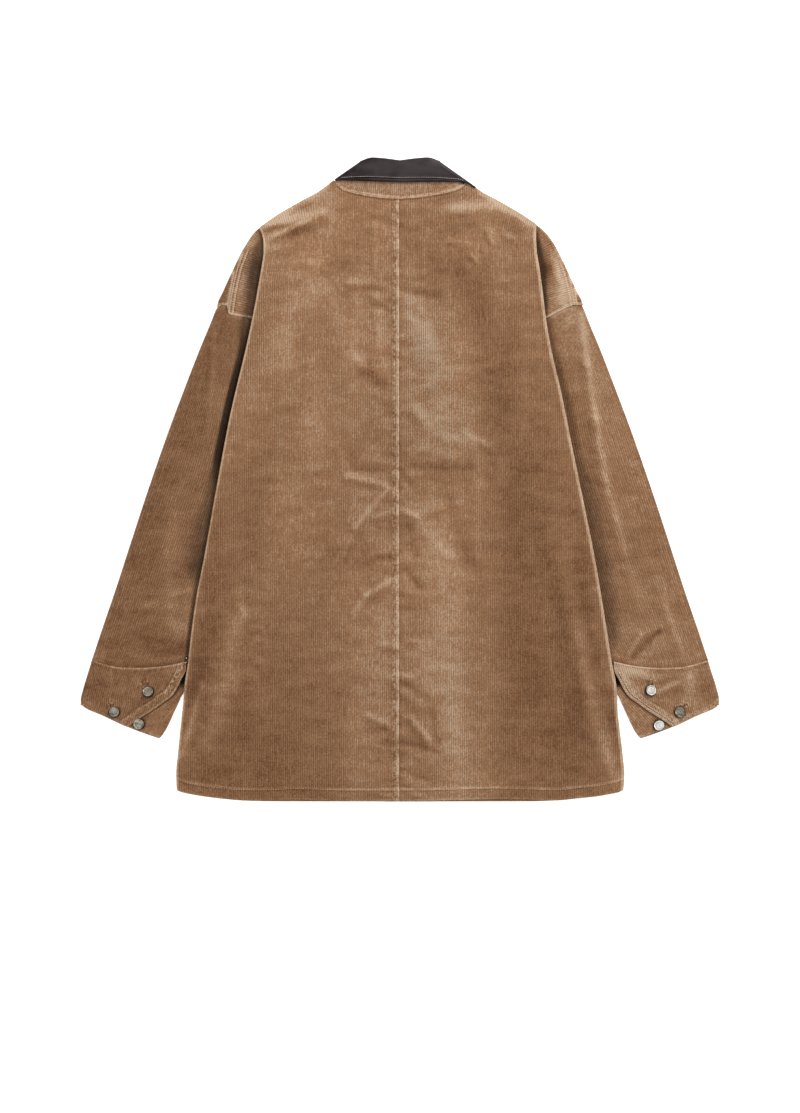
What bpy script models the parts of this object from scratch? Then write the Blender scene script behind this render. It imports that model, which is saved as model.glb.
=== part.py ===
"""Corduroy jacket with a leather collar, laid flat on its front, back up.

+X is to the right seen from above, +Y towards the collar and +Z up. The floor is z = 0, and the
origin is under the middle of the garment. Sizes are in millimetres; place() makes them metres.
Each cloth piece is an open surface through the middle of its wall, given its thickness by a
Solidify modifier. From the floor up lie the sleeves and fronts, the drop-shoulder ends, the part
of the back that is folded under at each side, and the back itself.
"""

import math

import bmesh
import bpy
import numpy as np
from mathutils import Matrix, Vector

COLLECTION = "corduroy_jacket"
MM = 0.001

CLOTH = 1.6  # corduroy wall
LEATHER = 2.0  # the collar leaf, two skins glued and sewn
SEAM_GAP = 0.3  # between the pieces that a seam joins
FLOOR_PLY = CLOTH / 2  # the middle of a wall that lies on the floor
EDGE_RUN = 3.0  # how far a rolled shoulder edge runs back underneath
HEM_TURN = 14.0
HEM_LEVEL = -401.5  # where the side folds reach the hem
FELL_RISE = 0.6  # the felled allowance beside the centre-back seam
SEAM_X = -0.5  # the centre-back seam
MIDDLE_Y = 0.48  # the middle of the garment's length, in the tables' y
FOLD_TOP = 322.5  # where the side folds start, on the shoulders
SHOULDER_TOP = {"left": 386.0, "right": 375.5}  # where each shoulder comes out from the collar

FRONT_LAP = 20.0  # each front passes the middle by this much
LAP_RISE = 2.4
COLLAR_RISE = 3.2  # how far the collar's ends lift the fronts
COLLAR_TIP_X = 58.0
COLLAR_TIP_Y = 288.0

# Where the drop shoulder's outer edge, and its edge hidden under the back, start and end.
SHOULDER_END_OUTER = (316.0, 223.8)
SHOULDER_END_INNER = (306.0, 203.5)
ARMHOLE_OUTER_X = 236.9
UNDERARM_X = 178.5
# Outer and inner ends of the sleeve's foot, the cuff's seam and the cuff's free edge.
SLEEVE_FOOT = (397.6, 278.0)
CUFF_TOP = (397.6, 280.0)
CUFF_FOOT = (412.6, 311.4)
FLAP_FOOT = (354.0, -320.0)  # the flap's corner
EDGE_INSET = 2.1  # from the outline to the plies' edges, whose turn bulges out again
INNER_INSET = 1.8
FLAP_INSET = 2.6  # the flap's end from the band's inner edge, where they run together

NECK_TURNS = (0, 0.0525, 0.16, 0.24, 0.30, 0.36)  # the first step is the fell's width
BACK_COLUMNS_SHOULDER = 9
BACK_ROWS = 22
UNDERARM_ROW = 8  # the row of the back that ends at the underarm
ROLL_STEPS = 3
RUN_STEPS = 3
SLEEVE_COLUMNS = 9
SLEEVE_ROWS = 15
CUFF_COLUMNS = 7
CUFF_ROWS = 6
FRONT_COLUMNS = 11
FRONT_UPPER_ROWS = 7

BUTTON_RADIUS = 7.0
SHANK_RADIUS = 2.6
BUTTON_SIDES = 16

CORDUROY = ("corduroy", (0.270, 0.148, 0.078), 0.9, 0.0)
LEATHER_LOOK = ("collar_leather", (0.030, 0.024, 0.023), 0.5, 0.0)
METAL = ("button_metal", (0.45, 0.41, 0.36), 0.35, 1.0)


class Table:
    """Rows of named columns. Between its rows a column follows a smooth curve with no overshoot."""

    def __init__(self, columns, *rows):
        self.names = columns.split()
        self.rows = np.array(sorted(rows), float)

    def __call__(self, column, at):
        x = self.rows[:, 0]
        y = self.rows[:, self.names.index(column)]
        step = np.diff(x)
        rise = np.diff(y) / step
        slope = np.zeros(len(x))
        slope[0], slope[-1] = rise[0], rise[-1]
        for k in range(1, len(x) - 1):
            if rise[k - 1] * rise[k] > 0:
                slope[k] = 2 / (1 / rise[k - 1] + 1 / rise[k])
        at = min(max(at, x[0]), x[-1])
        k = int(min(max(np.searchsorted(x, at) - 1, 0), len(x) - 2))
        t = (at - x[k]) / step[k]
        return float(
            (2 * t**3 - 3 * t**2 + 1) * y[k]
            + (t**3 - 2 * t**2 + t) * step[k] * slope[k]
            + (3 * t**2 - 2 * t**3) * y[k + 1]
            + (t**3 - t**2) * step[k] * slope[k + 1]
        )


# The outer edge of the shoulders, sleeves and cuffs, the same on both sides.
OUTLINE = Table(
    "y x",
    (389.4, 86.5), (381.6, 96.2), (373.8, 107.2), (363.4, 126.8), (352.9, 145.6), (342.6, 162.5),
    (332.2, 176.8), (321.8, 189.2), (311.4, 197.0), (300.9, 203.5), (280.2, 213.8), (249.0, 228.2),
    (228.2, 237.2), (207.3, 245.1), (168.3, 261.3), (116.4, 281.4), (64.4, 300.9), (12.3, 319.2),
    (-39.6, 336.7), (-91.7, 353.6), (-143.7, 370.5), (-195.7, 388.1), (-247.7, 404.9),
    (-273.7, 412.8), (-286.7, 415.4), (-291.5, 414.8),
)  # fmt: skip

# The folded side edges of the back, which lie over the sleeves.
SIDE_FOLD = Table(
    "y left right",
    (322.5, 188.0, 187.0), (311.0, 179.0, 178.5), (297.1, 176.5, 178.1), (274.9, 180.1, 181.1),
    (246.3, 184.9, 185.0), (204.8, 192.8, 190.1), (161.8, 202.2, 197.9), (119.0, 212.6, 208.0),
    (83.9, 220.6, 215.4), (39.6, 229.2, 224.2), (-26.7, 241.2, 237.9), (-104.7, 255.1, 253.4),
    (-150.2, 264.0, 261.2), (-199.6, 271.1, 269.1), (-234.7, 274.9, 274.6), (-272.4, 280.2, 281.4),
    (-312.7, 284.4, 286.3), (-355.6, 287.9, 289.6), (-382.9, 289.4, 291.6), (-402.0, 288.6, 290.6),
)  # fmt: skip

# Heights along that edge: of the edge itself, and of the cloth folded under it.
FOLD_HEIGHT = Table(
    "y over under",
    (322.5, 9.0, 6.8), (300.0, 10.4, 7.2), (270.0, 11.2, 7.4), (-235.0, 11.2, 7.4),
    (-262.0, 10.9, 7.2), (-290.0, 9.2, 5.4), (-325.0, 7.0, 2.8), (-365.0, 5.6, 1.0),
    (-402.0, 5.2, 0.8),
)  # fmt: skip

# Where the folded-under cloth ends: at the armhole down to the underarm, then at the side seam.
UNDERARM_Y = 61.8
SIDE_SEAM = Table(
    "y x",
    (322.5, 175.0), (297.1, 164.0), (274.9, 160.0), (246.3, 160.0), (204.8, 166.0), (168.3, 168.0),
    (116.4, 168.0), (61.8, 167.7), (12.3, 175.5), (-39.6, 192.4), (-104.7, 215.8),
    (-156.7, 234.0), (-208.7, 250.9), (-260.7, 269.1), (-312.7, 276.9), (-364.7, 282.1),
    (-402.0, 283.0),
)  # fmt: skip

# The sleeve's inner fold, hidden under the back, and its seam to the front.
SLEEVE_FOLD = Table(
    "y x",
    (61.8, 176.5), (12.3, 184.6), (-39.6, 201.5), (-104.7, 224.9), (-156.7, 243.1),
    (-208.7, 260.0), (-235.5, 276.0),
)  # fmt: skip
FRONT_ARMHOLE = Table(
    "y x",
    (220.3, 239.2), (187.8, 217.0), (142.3, 196.0), (96.9, 180.0), (61.8, 168.0),
)  # fmt: skip
BACK_ARMHOLE = Table(
    "x y",
    (160.0, 196.0), (198.5, 210.6), (237.0, 225.2),
)  # fmt: skip

# How high the upper ply of the sleeve lies: at its edges, and how much more at its crown.
SLEEVE_HEIGHT = Table(
    "y edge crown",
    (239.0, 4.9, 0.3), (190.0, 4.8, 0.9), (100.0, 4.6, 1.7), (-150.0, 4.6, 1.7),
    (-215.0, 5.0, 1.0), (-240.0, 5.2, 0.6), (-336.0, 5.2, 0.3),
)  # fmt: skip

HEM = Table(
    "x y",
    (-291.0, -403.0), (-279.0, -408.5), (-241.7, -413.3), (-187.8, -417.0), (-132.0, -415.4),
    (-72.2, -417.3), (-4.5, -417.3), (65.7, -416.0), (138.5, -414.1), (208.7, -416.0),
    (260.7, -410.2), (281.0, -407.0), (292.0, -402.5),
)  # fmt: skip

# Cuff edges, on the right side: its seam to the sleeve, its free edge, its inner edge, and the
# slanting end of the flap.
CUFF_SEAM = Table(
    "x y",
    (277.0, -235.5), (295.0, -239.5), (315.0, -242.5), (338.0, -243.8), (361.0, -243.3),
    (383.0, -239.3), (400.0, -233.7),
)  # fmt: skip
CUFF_EDGE = Table(
    "x y",
    (311.9, -335.5), (323.8, -332.2), (354.0, -320.2), (390.4, -303.0), (415.0, -291.5),
)  # fmt: skip
CUFF_INNER = Table(
    "y x",
    (-235.5, 277.0), (-262.0, 281.0), (-277.5, 283.5), (-299.7, 292.5), (-325.7, 304.9),
    (-335.5, 311.9),
)  # fmt: skip
FLAP_END = Table(
    "y x",
    (-235.5, 277.5), (-252.0, 279.8), (-262.0, 284.5), (-279.0, 295.5), (-290.0, 309.5),
    (-300.0, 323.5), (-309.0, 338.0), (-320.2, 354.0),
)  # fmt: skip
UNDER_END_HEIGHT = 3.1
UNDER_END_TUCK = 22.0  # how far the band's other end runs on under the flap

# Cuff buttons: which, x and y on the right side, height of the face's middle, length of the
# shank and tilt to the side. The spare one is sewn to the band's other end, beside the flap.
CUFF_BUTTONS = (
    ("upper", 327.0, -274.4, 9.3, 1.4, 4.0),
    ("outer", 367.5, -300.9, 9.5, 1.4, 18.0),
    ("spare", 338.0, -318.4, 9.2, 3.8, 5.0),
)

# The folded collar, from the middle of the back round one side to the middle of the front:
# its neck seam, the crease that it is folded on, and the leaf's outer edge.
COLLAR = Table(
    "turn neck_x neck_y neck_z crease_x crease_y crease_z leaf_x leaf_y leaf_z",
    (0.00, 0.0, 366.5, 6.6, 0.0, 414.6, 16.0, 0.0, 386.0, 12.8),
    (0.12, 24.0, 368.4, 6.6, 22.0, 415.9, 16.2, 24.5, 385.8, 12.6),
    (0.24, 46.0, 371.7, 6.6, 38.0, 416.4, 15.8, 50.0, 386.4, 12.0),
    (0.34, 62.0, 374.8, 6.6, 45.0, 414.8, 14.8, 75.0, 386.6, 9.8),
    (0.42, 76.0, 377.5, 6.4, 48.6, 413.6, 13.6, 96.7, 377.8, 7.0),
    (0.58, 76.0, 377.5, 4.0, 48.6, 411.0, 1.0, 96.7, 377.8, 1.0),
    (0.68, 68.0, 366.0, 4.0, 46.0, 390.0, 1.0, 100.0, 352.0, 1.0),
    (0.84, 46.0, 344.0, 4.0, 34.0, 366.0, 1.0, 84.0, 316.0, 1.0),
    (1.00, 24.0, 327.0, 4.0, 18.0, 348.0, 1.0, 58.0, 288.0, 1.0),
)
TURNS = (0, 0.08, 0.16, 0.24, 0.30, 0.36, 0.42, 0.45, 0.48, 0.52, 0.55, 0.58)
TURNS += (0.63, 0.68, 0.76, 0.84, 0.92, 1)
SIDE_TURN = (0.42, 0.58)  # where the collar goes round the side of the neck
TURN_OUT = {"neck": (0.8, 0.6), "crease": (1.0, 0.0), "leaf": (0.6, 0.8)}  # bulges this way there
CREASE_RADIUS = 1.6  # of the leaf, where it turns over the top of the stand
LEAF_CLEAR = 2.6  # the leaf stands this far outside the stand elsewhere
# On the left the collar turns under further in: how much less x and more y each line has there,
# and the turns between which it comes in and goes back out.
LEFT_SHORT = {"neck": (0, 5.0, 0.36, 0.62), "crease": (0, 0, 0, 1), "leaf": (11.5, 9.0, 0.24, 0.68)}

# Creases of the back: two ends, half width and height; a trough has a negative height.
CREASES = (
    (-73.0, 6.0, -17.0, -6.0, 9.0, 1.6),
    (-17.0, -16.0, -62.0, -64.0, 8.0, 1.4),
    (-34.0, -95.0, -12.0, -97.0, 8.0, 1.2),
    (-12.0, -131.0, -60.0, -171.0, 9.0, 1.2),
    (-43.0, -318.0, -12.0, -318.0, 9.0, 1.1),
    (-54.0, 146.0, -20.0, 138.0, 10.0, 1.3),
    (-65.0, 256.0, -22.0, 253.0, 7.0, 1.0),
    (-30.0, 232.0, -22.0, 230.0, 8.0, 1.0),
    (2.0, -42.0, 40.0, -43.0, 7.0, 1.2),
    (10.0, 226.0, 33.0, 222.0, 9.0, 1.2),
    (33.0, 190.0, 49.0, 158.0, 11.0, 1.1),
    (22.0, 88.0, 118.0, 38.0, 16.0, 1.6),
    (16.0, 16.0, 90.0, 16.0, 9.0, -0.8),
    (101.0, 26.0, 101.0, -100.0, 11.0, 1.4),
    (60.0, -100.0, 66.0, -405.0, 18.0, 1.2),
    (16.0, -311.0, 34.0, -337.0, 8.0, 1.1),
    (-172.0, 329.0, -88.0, 352.0, 12.0, 1.0),
    (-172.0, 316.0, -106.0, 328.0, 10.0, -0.9),
    (44.0, 350.0, 128.0, 366.0, 12.0, 1.0),
    (56.0, 334.0, 126.0, 336.0, 9.0, -0.9),
)


def smooth(t):
    t = min(max(t, 0.0), 1.0)
    return t * t * (3 - 2 * t)


def between(a, b, t):
    return a + (b - a) * t


def side_word(side):
    return "left" if side < 0 else "right"


def fold_x(side, y):
    return SIDE_FOLD(side_word(side), y)


def fold_hidden(side, y):
    """How far the cloth folded under the side edge runs back in."""
    return fold_x(side, y) - SIDE_SEAM("x", y)


def crease_height(x, y):
    total = 0.0
    for ax, ay, bx, by, width, height in CREASES:
        dx, dy = bx - ax, by - ay
        t = ((x - ax) * dx + (y - ay) * dy) / (dx * dx + dy * dy)
        t = min(max(t, 0.0), 1.0)
        away = math.hypot(x - ax - t * dx, y - ay - t * dy) / width
        total += height * math.exp(-away * away)
    return total


def collar_rise(x, y, spread):
    """How far the collar's end, lying under a front, lifts what is above it."""
    below = COLLAR_TIP_Y + 1.5 * abs(abs(x) - COLLAR_TIP_X)
    return COLLAR_RISE * smooth((y - below + spread) / (spread - 2.0))


def front_edge_x(side, y):
    """The free edge of a front, which passes the middle but stands open below the collar."""
    return -side * FRONT_LAP * (1 - 2.2 * smooth((y - 235.0) / 91.0))


def front_height(side, x, y):
    """The middle of a front's wall. side is -1 or 1, and x is measured from the middle."""
    lap = LAP_RISE * smooth((68.0 - x) / 45.0) * smooth((320.0 - y) / 35.0) if side > 0 else 0.0
    collar = collar_rise(x, y, 75.0)
    lift = FOLD_HEIGHT("under", y) - FLOOR_PLY
    lift *= smooth((UNDERARM_Y + 15.0 - y) / 45.0)
    inward = SIDE_SEAM("x", y) - abs(x)
    return FLOOR_PLY + lap + collar + lift * smooth(1 - inward / 60.0)


def back_height(x, y):
    """The middle of the back's wall."""
    side = -1 if x < 0 else 1
    lap = LAP_RISE * smooth((95.0 - x) / 50.0) * smooth((x + 60.0) / 40.0)
    lap *= smooth((345.0 - y) / 50.0)
    collar = collar_rise(x, y, 95.0)
    base = FLOOR_PLY + CLOTH + 1.0 + max(lap, collar) + 0.7 * min(lap, collar)
    base += crease_height(x, y)
    edge = FOLD_HEIGHT("over", y)
    inward = fold_x(side, min(y, 300.0)) - abs(x)
    flat = fold_hidden(side, y) + 8.0
    share = smooth(1 - (inward - flat) / 62.0)
    share *= smooth((385.0 - y) / 62.0)
    return base + (edge - base) * share


def sleeve_height(side, x, y):
    """The middle of the sleeve's upper wall, highest between its outer edge and the back's."""
    outer = OUTLINE("x", y)
    inner = fold_x(side, y) if y > -235.0 else CUFF_INNER("x", y)
    across = min(max((outer - abs(x)) / max(outer - inner, 1.0), 0.0), 1.0)
    crown = SLEEVE_HEIGHT("crown", y) * math.sin(math.pi * across**1.1)
    return SLEEVE_HEIGHT("edge", y) + max(crown, 0.0)


def outward(path, k, side):
    """The unit vector in plan that points out of the garment at a point of an edge path."""
    a, b = path[max(k - 1, 0)], path[min(k + 1, len(path) - 1)]
    n = Vector((-(b[1] - a[1]), b[0] - a[0]))
    if n.x * side < 0 or (abs(n.x) < 1e-6 and n.y < 0):
        n = -n
    return n.normalized()


def patch(top, bottom, left, right, u, v):
    """A point of the surface patch inside four edges, each a function from 0 to 1."""
    a, b, c, d = top(0), top(1), bottom(0), bottom(1)
    t, m, e, r = top(u), bottom(u), left(v), right(v)
    out = []
    for k in range(2):
        inside = (1 - v) * t[k] + v * m[k] + (1 - u) * e[k] + u * r[k]
        corner = (1 - u) * (1 - v) * a[k] + u * (1 - v) * b[k] + (1 - u) * v * c[k] + u * v * d[k]
        out.append(inside - corner)
    return out


def along(points):
    """A function from 0 to 1 that walks a path of plan points at an even pace."""
    points = np.array(points, float)
    length = np.concatenate([[0], np.cumsum(np.linalg.norm(np.diff(points, axis=0), axis=1))])

    def at(t):
        return [float(np.interp(t * length[-1], length, points[:, k])) for k in range(2)]

    return at


def roll(point, out, top, under, run_to, turns=ROLL_STEPS, runs=RUN_STEPS):
    """The points of an edge that turns under from height top to height under and runs to run_to."""
    radius = (top - under) / 2
    points = []
    for k in range(1, turns + 1):
        a = math.pi * k / turns
        plan = Vector(point) + out * radius * math.sin(a)
        points.append((plan.x, plan.y, top - radius * (1 - math.cos(a))))
    for k in range(1, runs + 1):
        plan = Vector(point).lerp(Vector(run_to), k / runs)
        points.append((plan.x, plan.y, under))
    return points


def place(point):
    return Vector((point[0] * MM, (point[1] - MIDDLE_Y) * MM, point[2] * MM))


def material(look):
    name, colour, roughness, metallic = look
    made = bpy.data.materials.get(name)
    if made is None:
        made = bpy.data.materials.new(name)
        made.use_nodes = True
        shader = made.node_tree.nodes["Principled BSDF"]
        shader.inputs["Base Color"].default_value = (*colour, 1)
        shader.inputs["Roughness"].default_value = roughness
        shader.inputs["Metallic"].default_value = metallic
    return made


def add(name, mesh, look):
    piece = bpy.data.objects.new(name, mesh)
    piece.data.materials.append(material(look))
    bpy.data.collections[COLLECTION].objects.link(piece)
    return piece


def cloth(name, columns, rows, form, wall=CLOTH, look=CORDUROY, closed=False):
    """A grid of columns by rows cells whose points go where form(i, j) says, given its wall.

    Where form gives None the grid has no cloth.
    """
    bm = bmesh.new()
    bmesh.ops.create_grid(bm, x_segments=columns, y_segments=rows, size=0.5)
    unused = []
    for v in bm.verts:
        i, j = round((v.co.x + 0.5) * columns), round((0.5 - v.co.y) * rows)
        point = form(i, j)
        if point is None:
            unused.append(v)
        else:
            v.co = place(point)
    bmesh.ops.delete(bm, geom=unused, context="VERTS")
    if closed:
        bmesh.ops.remove_doubles(bm, verts=bm.verts, dist=1e-6)
    bmesh.ops.recalc_face_normals(bm, faces=bm.faces)
    mesh = bpy.data.meshes.new(name)
    bm.to_mesh(mesh)
    bm.free()
    piece = add(name, mesh, look)
    for p in mesh.polygons:
        p.use_smooth = True
    solid = piece.modifiers.new("wall", "SOLIDIFY")
    solid.thickness = wall * MM
    solid.offset = 0.0
    return piece


def shoulder_path(side, steps):
    """Points of the shoulder's edge from the collar to the head of the side fold."""
    path = []
    for k in range(steps + 1):
        y = between(SHOULDER_TOP[side_word(side)], FOLD_TOP, k / steps)
        path.append((side * OUTLINE("x", y), y))
    return path


def side_row(j):
    """How far along the side each row of the back ends; the front's rows meet them at the seam."""
    if j <= UNDERARM_ROW:
        return between(FOLD_TOP, UNDERARM_Y, j / UNDERARM_ROW)
    if j < BACK_ROWS:
        turned = HEM_LEVEL + HEM_TURN
        return between(UNDERARM_Y, turned, (j - UNDERARM_ROW) / (BACK_ROWS - 1 - UNDERARM_ROW))
    return HEM_LEVEL


def back(side):
    """Half of the back: from the centre seam out to the rolled shoulder and the side fold."""
    neck, shoulder = len(NECK_TURNS) - 1, BACK_COLUMNS_SHOULDER
    across, extra = neck + shoulder, ROLL_STEPS + RUN_STEPS
    seam = SEAM_X + side * SEAM_GAP / 2
    edge = shoulder_path(side, shoulder - 1)
    top_row = []
    for i in range(neck + 1):
        turn = NECK_TURNS[i]
        y = COLLAR("neck_y", turn) - SEAM_GAP
        top_row.append((seam if i == 0 else side * COLLAR("neck_x", turn), y))
    for k, point in enumerate(edge):
        out = outward(edge, k, side)
        radius = (back_height(*point) - front_height(side, *point)) / 2
        top_row.append((point[0] - out.x * radius, point[1] - out.y * radius))

    folds = [(side * fold_x(side, side_row(j)), side_row(j)) for j in range(BACK_ROWS + 1)]

    def side_edge(v):
        j = round(v * BACK_ROWS)
        x, y = folds[j]
        if j == 0:
            return top_row[-1]
        radius = (FOLD_HEIGHT("over", y) - FOLD_HEIGHT("under", y)) / 2
        return (x - side * radius, y)

    def top(u):
        return top_row[round(u * across)]

    def bottom(u):
        x = top(u)[0] if round(u * across) == 1 else between(seam, side_edge(1)[0], u)
        return (x, HEM("y", x) if u < 1 else side_edge(1)[1])

    def centre(v):
        j = round(v * BACK_ROWS)
        if j == BACK_ROWS:
            return (seam, HEM("y", seam))
        return (seam, between(top(0)[1], HEM("y", seam) + HEM_TURN, j / (BACK_ROWS - 1)))

    def surface(i, j):
        x, y = patch(top, bottom, centre, side_edge, i / across, j / BACK_ROWS)
        z = back_height(x, y)
        if side < 0 and i <= 1:
            z += FELL_RISE
        return (x, y, z)

    def form(i, j):
        j -= extra
        if i <= across and j >= 0:
            return surface(i, j)
        if i > across and j >= 0:
            x, y, z = surface(across, j)
            under = FOLD_HEIGHT("under", y)
            end = (side * (SIDE_SEAM("x", y) + SEAM_GAP / 2), y)
            return roll((x, y), Vector((side, 0.0)), z, under, end)[i - across - 1]
        if neck < i <= across:
            x, y, z = surface(i, 0)
            out = outward(edge, i - neck - 1, side)
            under = front_height(side, x, y)
            end = (x - out.x * EDGE_RUN, y - out.y * EDGE_RUN)
            return roll((x, y), out, z, under, end)[-j - 1]
        return None

    return cloth(f"back_{side_word(side)}", across + extra, BACK_ROWS + extra, form)


def shoulder_end(side):
    """The drop-shoulder end of the back, which comes out from under the side fold."""
    across, down = 5, 7

    def outer(v):
        y = between(*SHOULDER_END_OUTER, v)
        return (side * OUTLINE("x", y), y)

    path = [outer(k / down) for k in range(down + 1)]

    def form(i, j):
        v = j / down
        out = outward(path, j, side)
        z = SLEEVE_HEIGHT("edge", 239.0)
        radius = (z - FLOOR_PLY) / 2
        edge = Vector(path[j]) - out * radius
        inner_y = between(*SHOULDER_END_INNER, v)
        inner = Vector((side * SIDE_SEAM("x", inner_y), inner_y))
        if i <= across:
            plan = inner.lerp(edge, i / across)
            x, y = plan
        else:
            end = edge - out * EDGE_RUN
            x, y, z = roll(edge, out, z, FLOOR_PLY, end, runs=1)[i - across - 1]
        if j == down:
            y = BACK_ARMHOLE("y", abs(x)) + SEAM_GAP / 2
        return (x, y, z)

    return cloth(f"back_shoulder_end_{side_word(side)}", across + ROLL_STEPS + 1, down, form)


def front(side):
    """A front, flat on the floor, from its edge past the middle out to its side seam."""
    neck_row = []
    for turn in (1, 0.92, 0.84, 0.76, 0.68, 0.63):
        x, y = COLLAR("neck_x", turn), COLLAR("neck_y", turn)
        neck_row.append((side * (x + SEAM_GAP), y - SEAM_GAP))
    neck = len(neck_row) - 1
    lower_rows = BACK_ROWS - UNDERARM_ROW
    rows = FRONT_UPPER_ROWS + lower_rows

    edge = shoulder_path(side, 8)[1:]
    shoulder = []
    for k, point in enumerate(edge):
        out = outward(edge, k, side)
        radius = (back_height(*point) - front_height(side, *point)) / 2
        shoulder.append(Vector(point) - out * (radius + EDGE_RUN + 2 * SEAM_GAP))
    top_edge = along(shoulder)

    down = []
    for k in range(8):
        y = between(*SHOULDER_END_OUTER, k / 7)
        down.append((side * OUTLINE("x", y), y))
    outer = [tuple(shoulder[-1])]
    radius = (SLEEVE_HEIGHT("edge", 239.0) - FLOOR_PLY) / 2
    for k in range(1, 8):
        out = outward(down, k, side)
        outer.append(tuple(Vector(down[k]) - out * (radius + EDGE_RUN + 2 * SEAM_GAP)))
    for k in range(1, 7):
        y = between(SHOULDER_END_OUTER[1] - 10.0, UNDERARM_Y, k / 6)
        outer.append((side * (FRONT_ARMHOLE("x", y) - SEAM_GAP), y))
    upper_edge = along(outer)

    def side_edge(v):
        j = round(v * rows)
        if j <= FRONT_UPPER_ROWS:
            return upper_edge(j / FRONT_UPPER_ROWS)
        y = side_row(j - FRONT_UPPER_ROWS + UNDERARM_ROW)
        return (side * (SIDE_SEAM("x", y) - SEAM_GAP / 2), y)

    def top(u):
        i = round(u * FRONT_COLUMNS)
        if i <= neck:
            return neck_row[i]
        return top_edge((i - neck) / (FRONT_COLUMNS - neck))

    def bottom(u):
        x = between(-side * FRONT_LAP, side_edge(1)[0], u)
        return (x, (HEM("y", x) - 0.6) if u < 1 else side_edge(1)[1])

    def free(v):
        y = between(neck_row[0][1], bottom(0)[1], v)
        return (front_edge_x(side, y) if v > 0 else neck_row[0][0], y)

    def form(i, j):
        x, y = patch(top, bottom, free, side_edge, i / FRONT_COLUMNS, j / rows)
        return (x, y, front_height(side, x, y))

    return cloth(f"front_{side_word(side)}", FRONT_COLUMNS, rows, form)


def sleeve(side):
    """A flattened tube: upper ply, inner fold, lower ply and outer fold round each row."""
    upper, lower, inner_turn, outer_turn = SLEEVE_COLUMNS, 6, 2, 3
    round_it = upper + inner_turn + lower + outer_turn

    start = []
    for k in range(9):
        x = between(ARMHOLE_OUTER_X, UNDERARM_X, k / 8)
        start.append((x, BACK_ARMHOLE("y", x) - SEAM_GAP / 2))
    for k in range(1, 7):
        y = between(BACK_ARMHOLE("y", UNDERARM_X), UNDERARM_Y, k / 6)
        start.append((UNDERARM_X, y))
    head = along(start)
    under = [start[0]]
    for k in range(1, 9):
        y = between(SHOULDER_END_OUTER[1] - 3.0, UNDERARM_Y, k / 8)
        under.append((FRONT_ARMHOLE("x", y) + 2 * SEAM_GAP, y))
    under[-1] = (UNDERARM_X, UNDERARM_Y)
    under_head = along(under)

    def foot(u):
        x = between(*SLEEVE_FOOT, u)
        return (x, CUFF_SEAM("y", x) + SEAM_GAP)

    def outer(v):
        y = between(head(0)[1], foot(0)[1], v)
        return (OUTLINE("x", y) - EDGE_INSET, y)

    def inner(v):
        y = between(UNDERARM_Y, foot(1)[1], v)
        return (SLEEVE_FOLD("x", y) + INNER_INSET, y)

    def form(i, j):
        v = j / SLEEVE_ROWS
        i = i % round_it
        ends = []
        for plan in (outer(v), inner(v)):
            top = sleeve_height(side, *plan)
            ends.append((plan, (top - FLOOR_PLY) / 2))
        if i <= upper:
            x, y = patch(head, foot, outer, inner, i / upper, v)
            z = sleeve_height(side, x, y)
        elif i < upper + inner_turn:
            (x, y), radius = ends[1]
            a = math.pi * (i - upper) / inner_turn
            x -= radius * math.sin(a)
            z = FLOOR_PLY + radius * (1 + math.cos(a))
        elif i <= upper + inner_turn + lower:
            t = 1 - (i - upper - inner_turn) / lower
            x, y = patch(under_head, foot, outer, inner, t, v)
            z = FLOOR_PLY
        else:
            (x, y), radius = ends[0]
            a = math.pi * (i - upper - inner_turn - lower) / outer_turn
            x += radius * math.sin(a)
            z = FLOOR_PLY + radius * (1 - math.cos(a))
            if j == 0:
                y = BACK_ARMHOLE("y", x) - SEAM_GAP / 2
        return (side * x, y, z)

    name = f"sleeve_{side_word(side)}"
    return cloth(name, round_it, SLEEVE_ROWS, form, closed=True)


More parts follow.
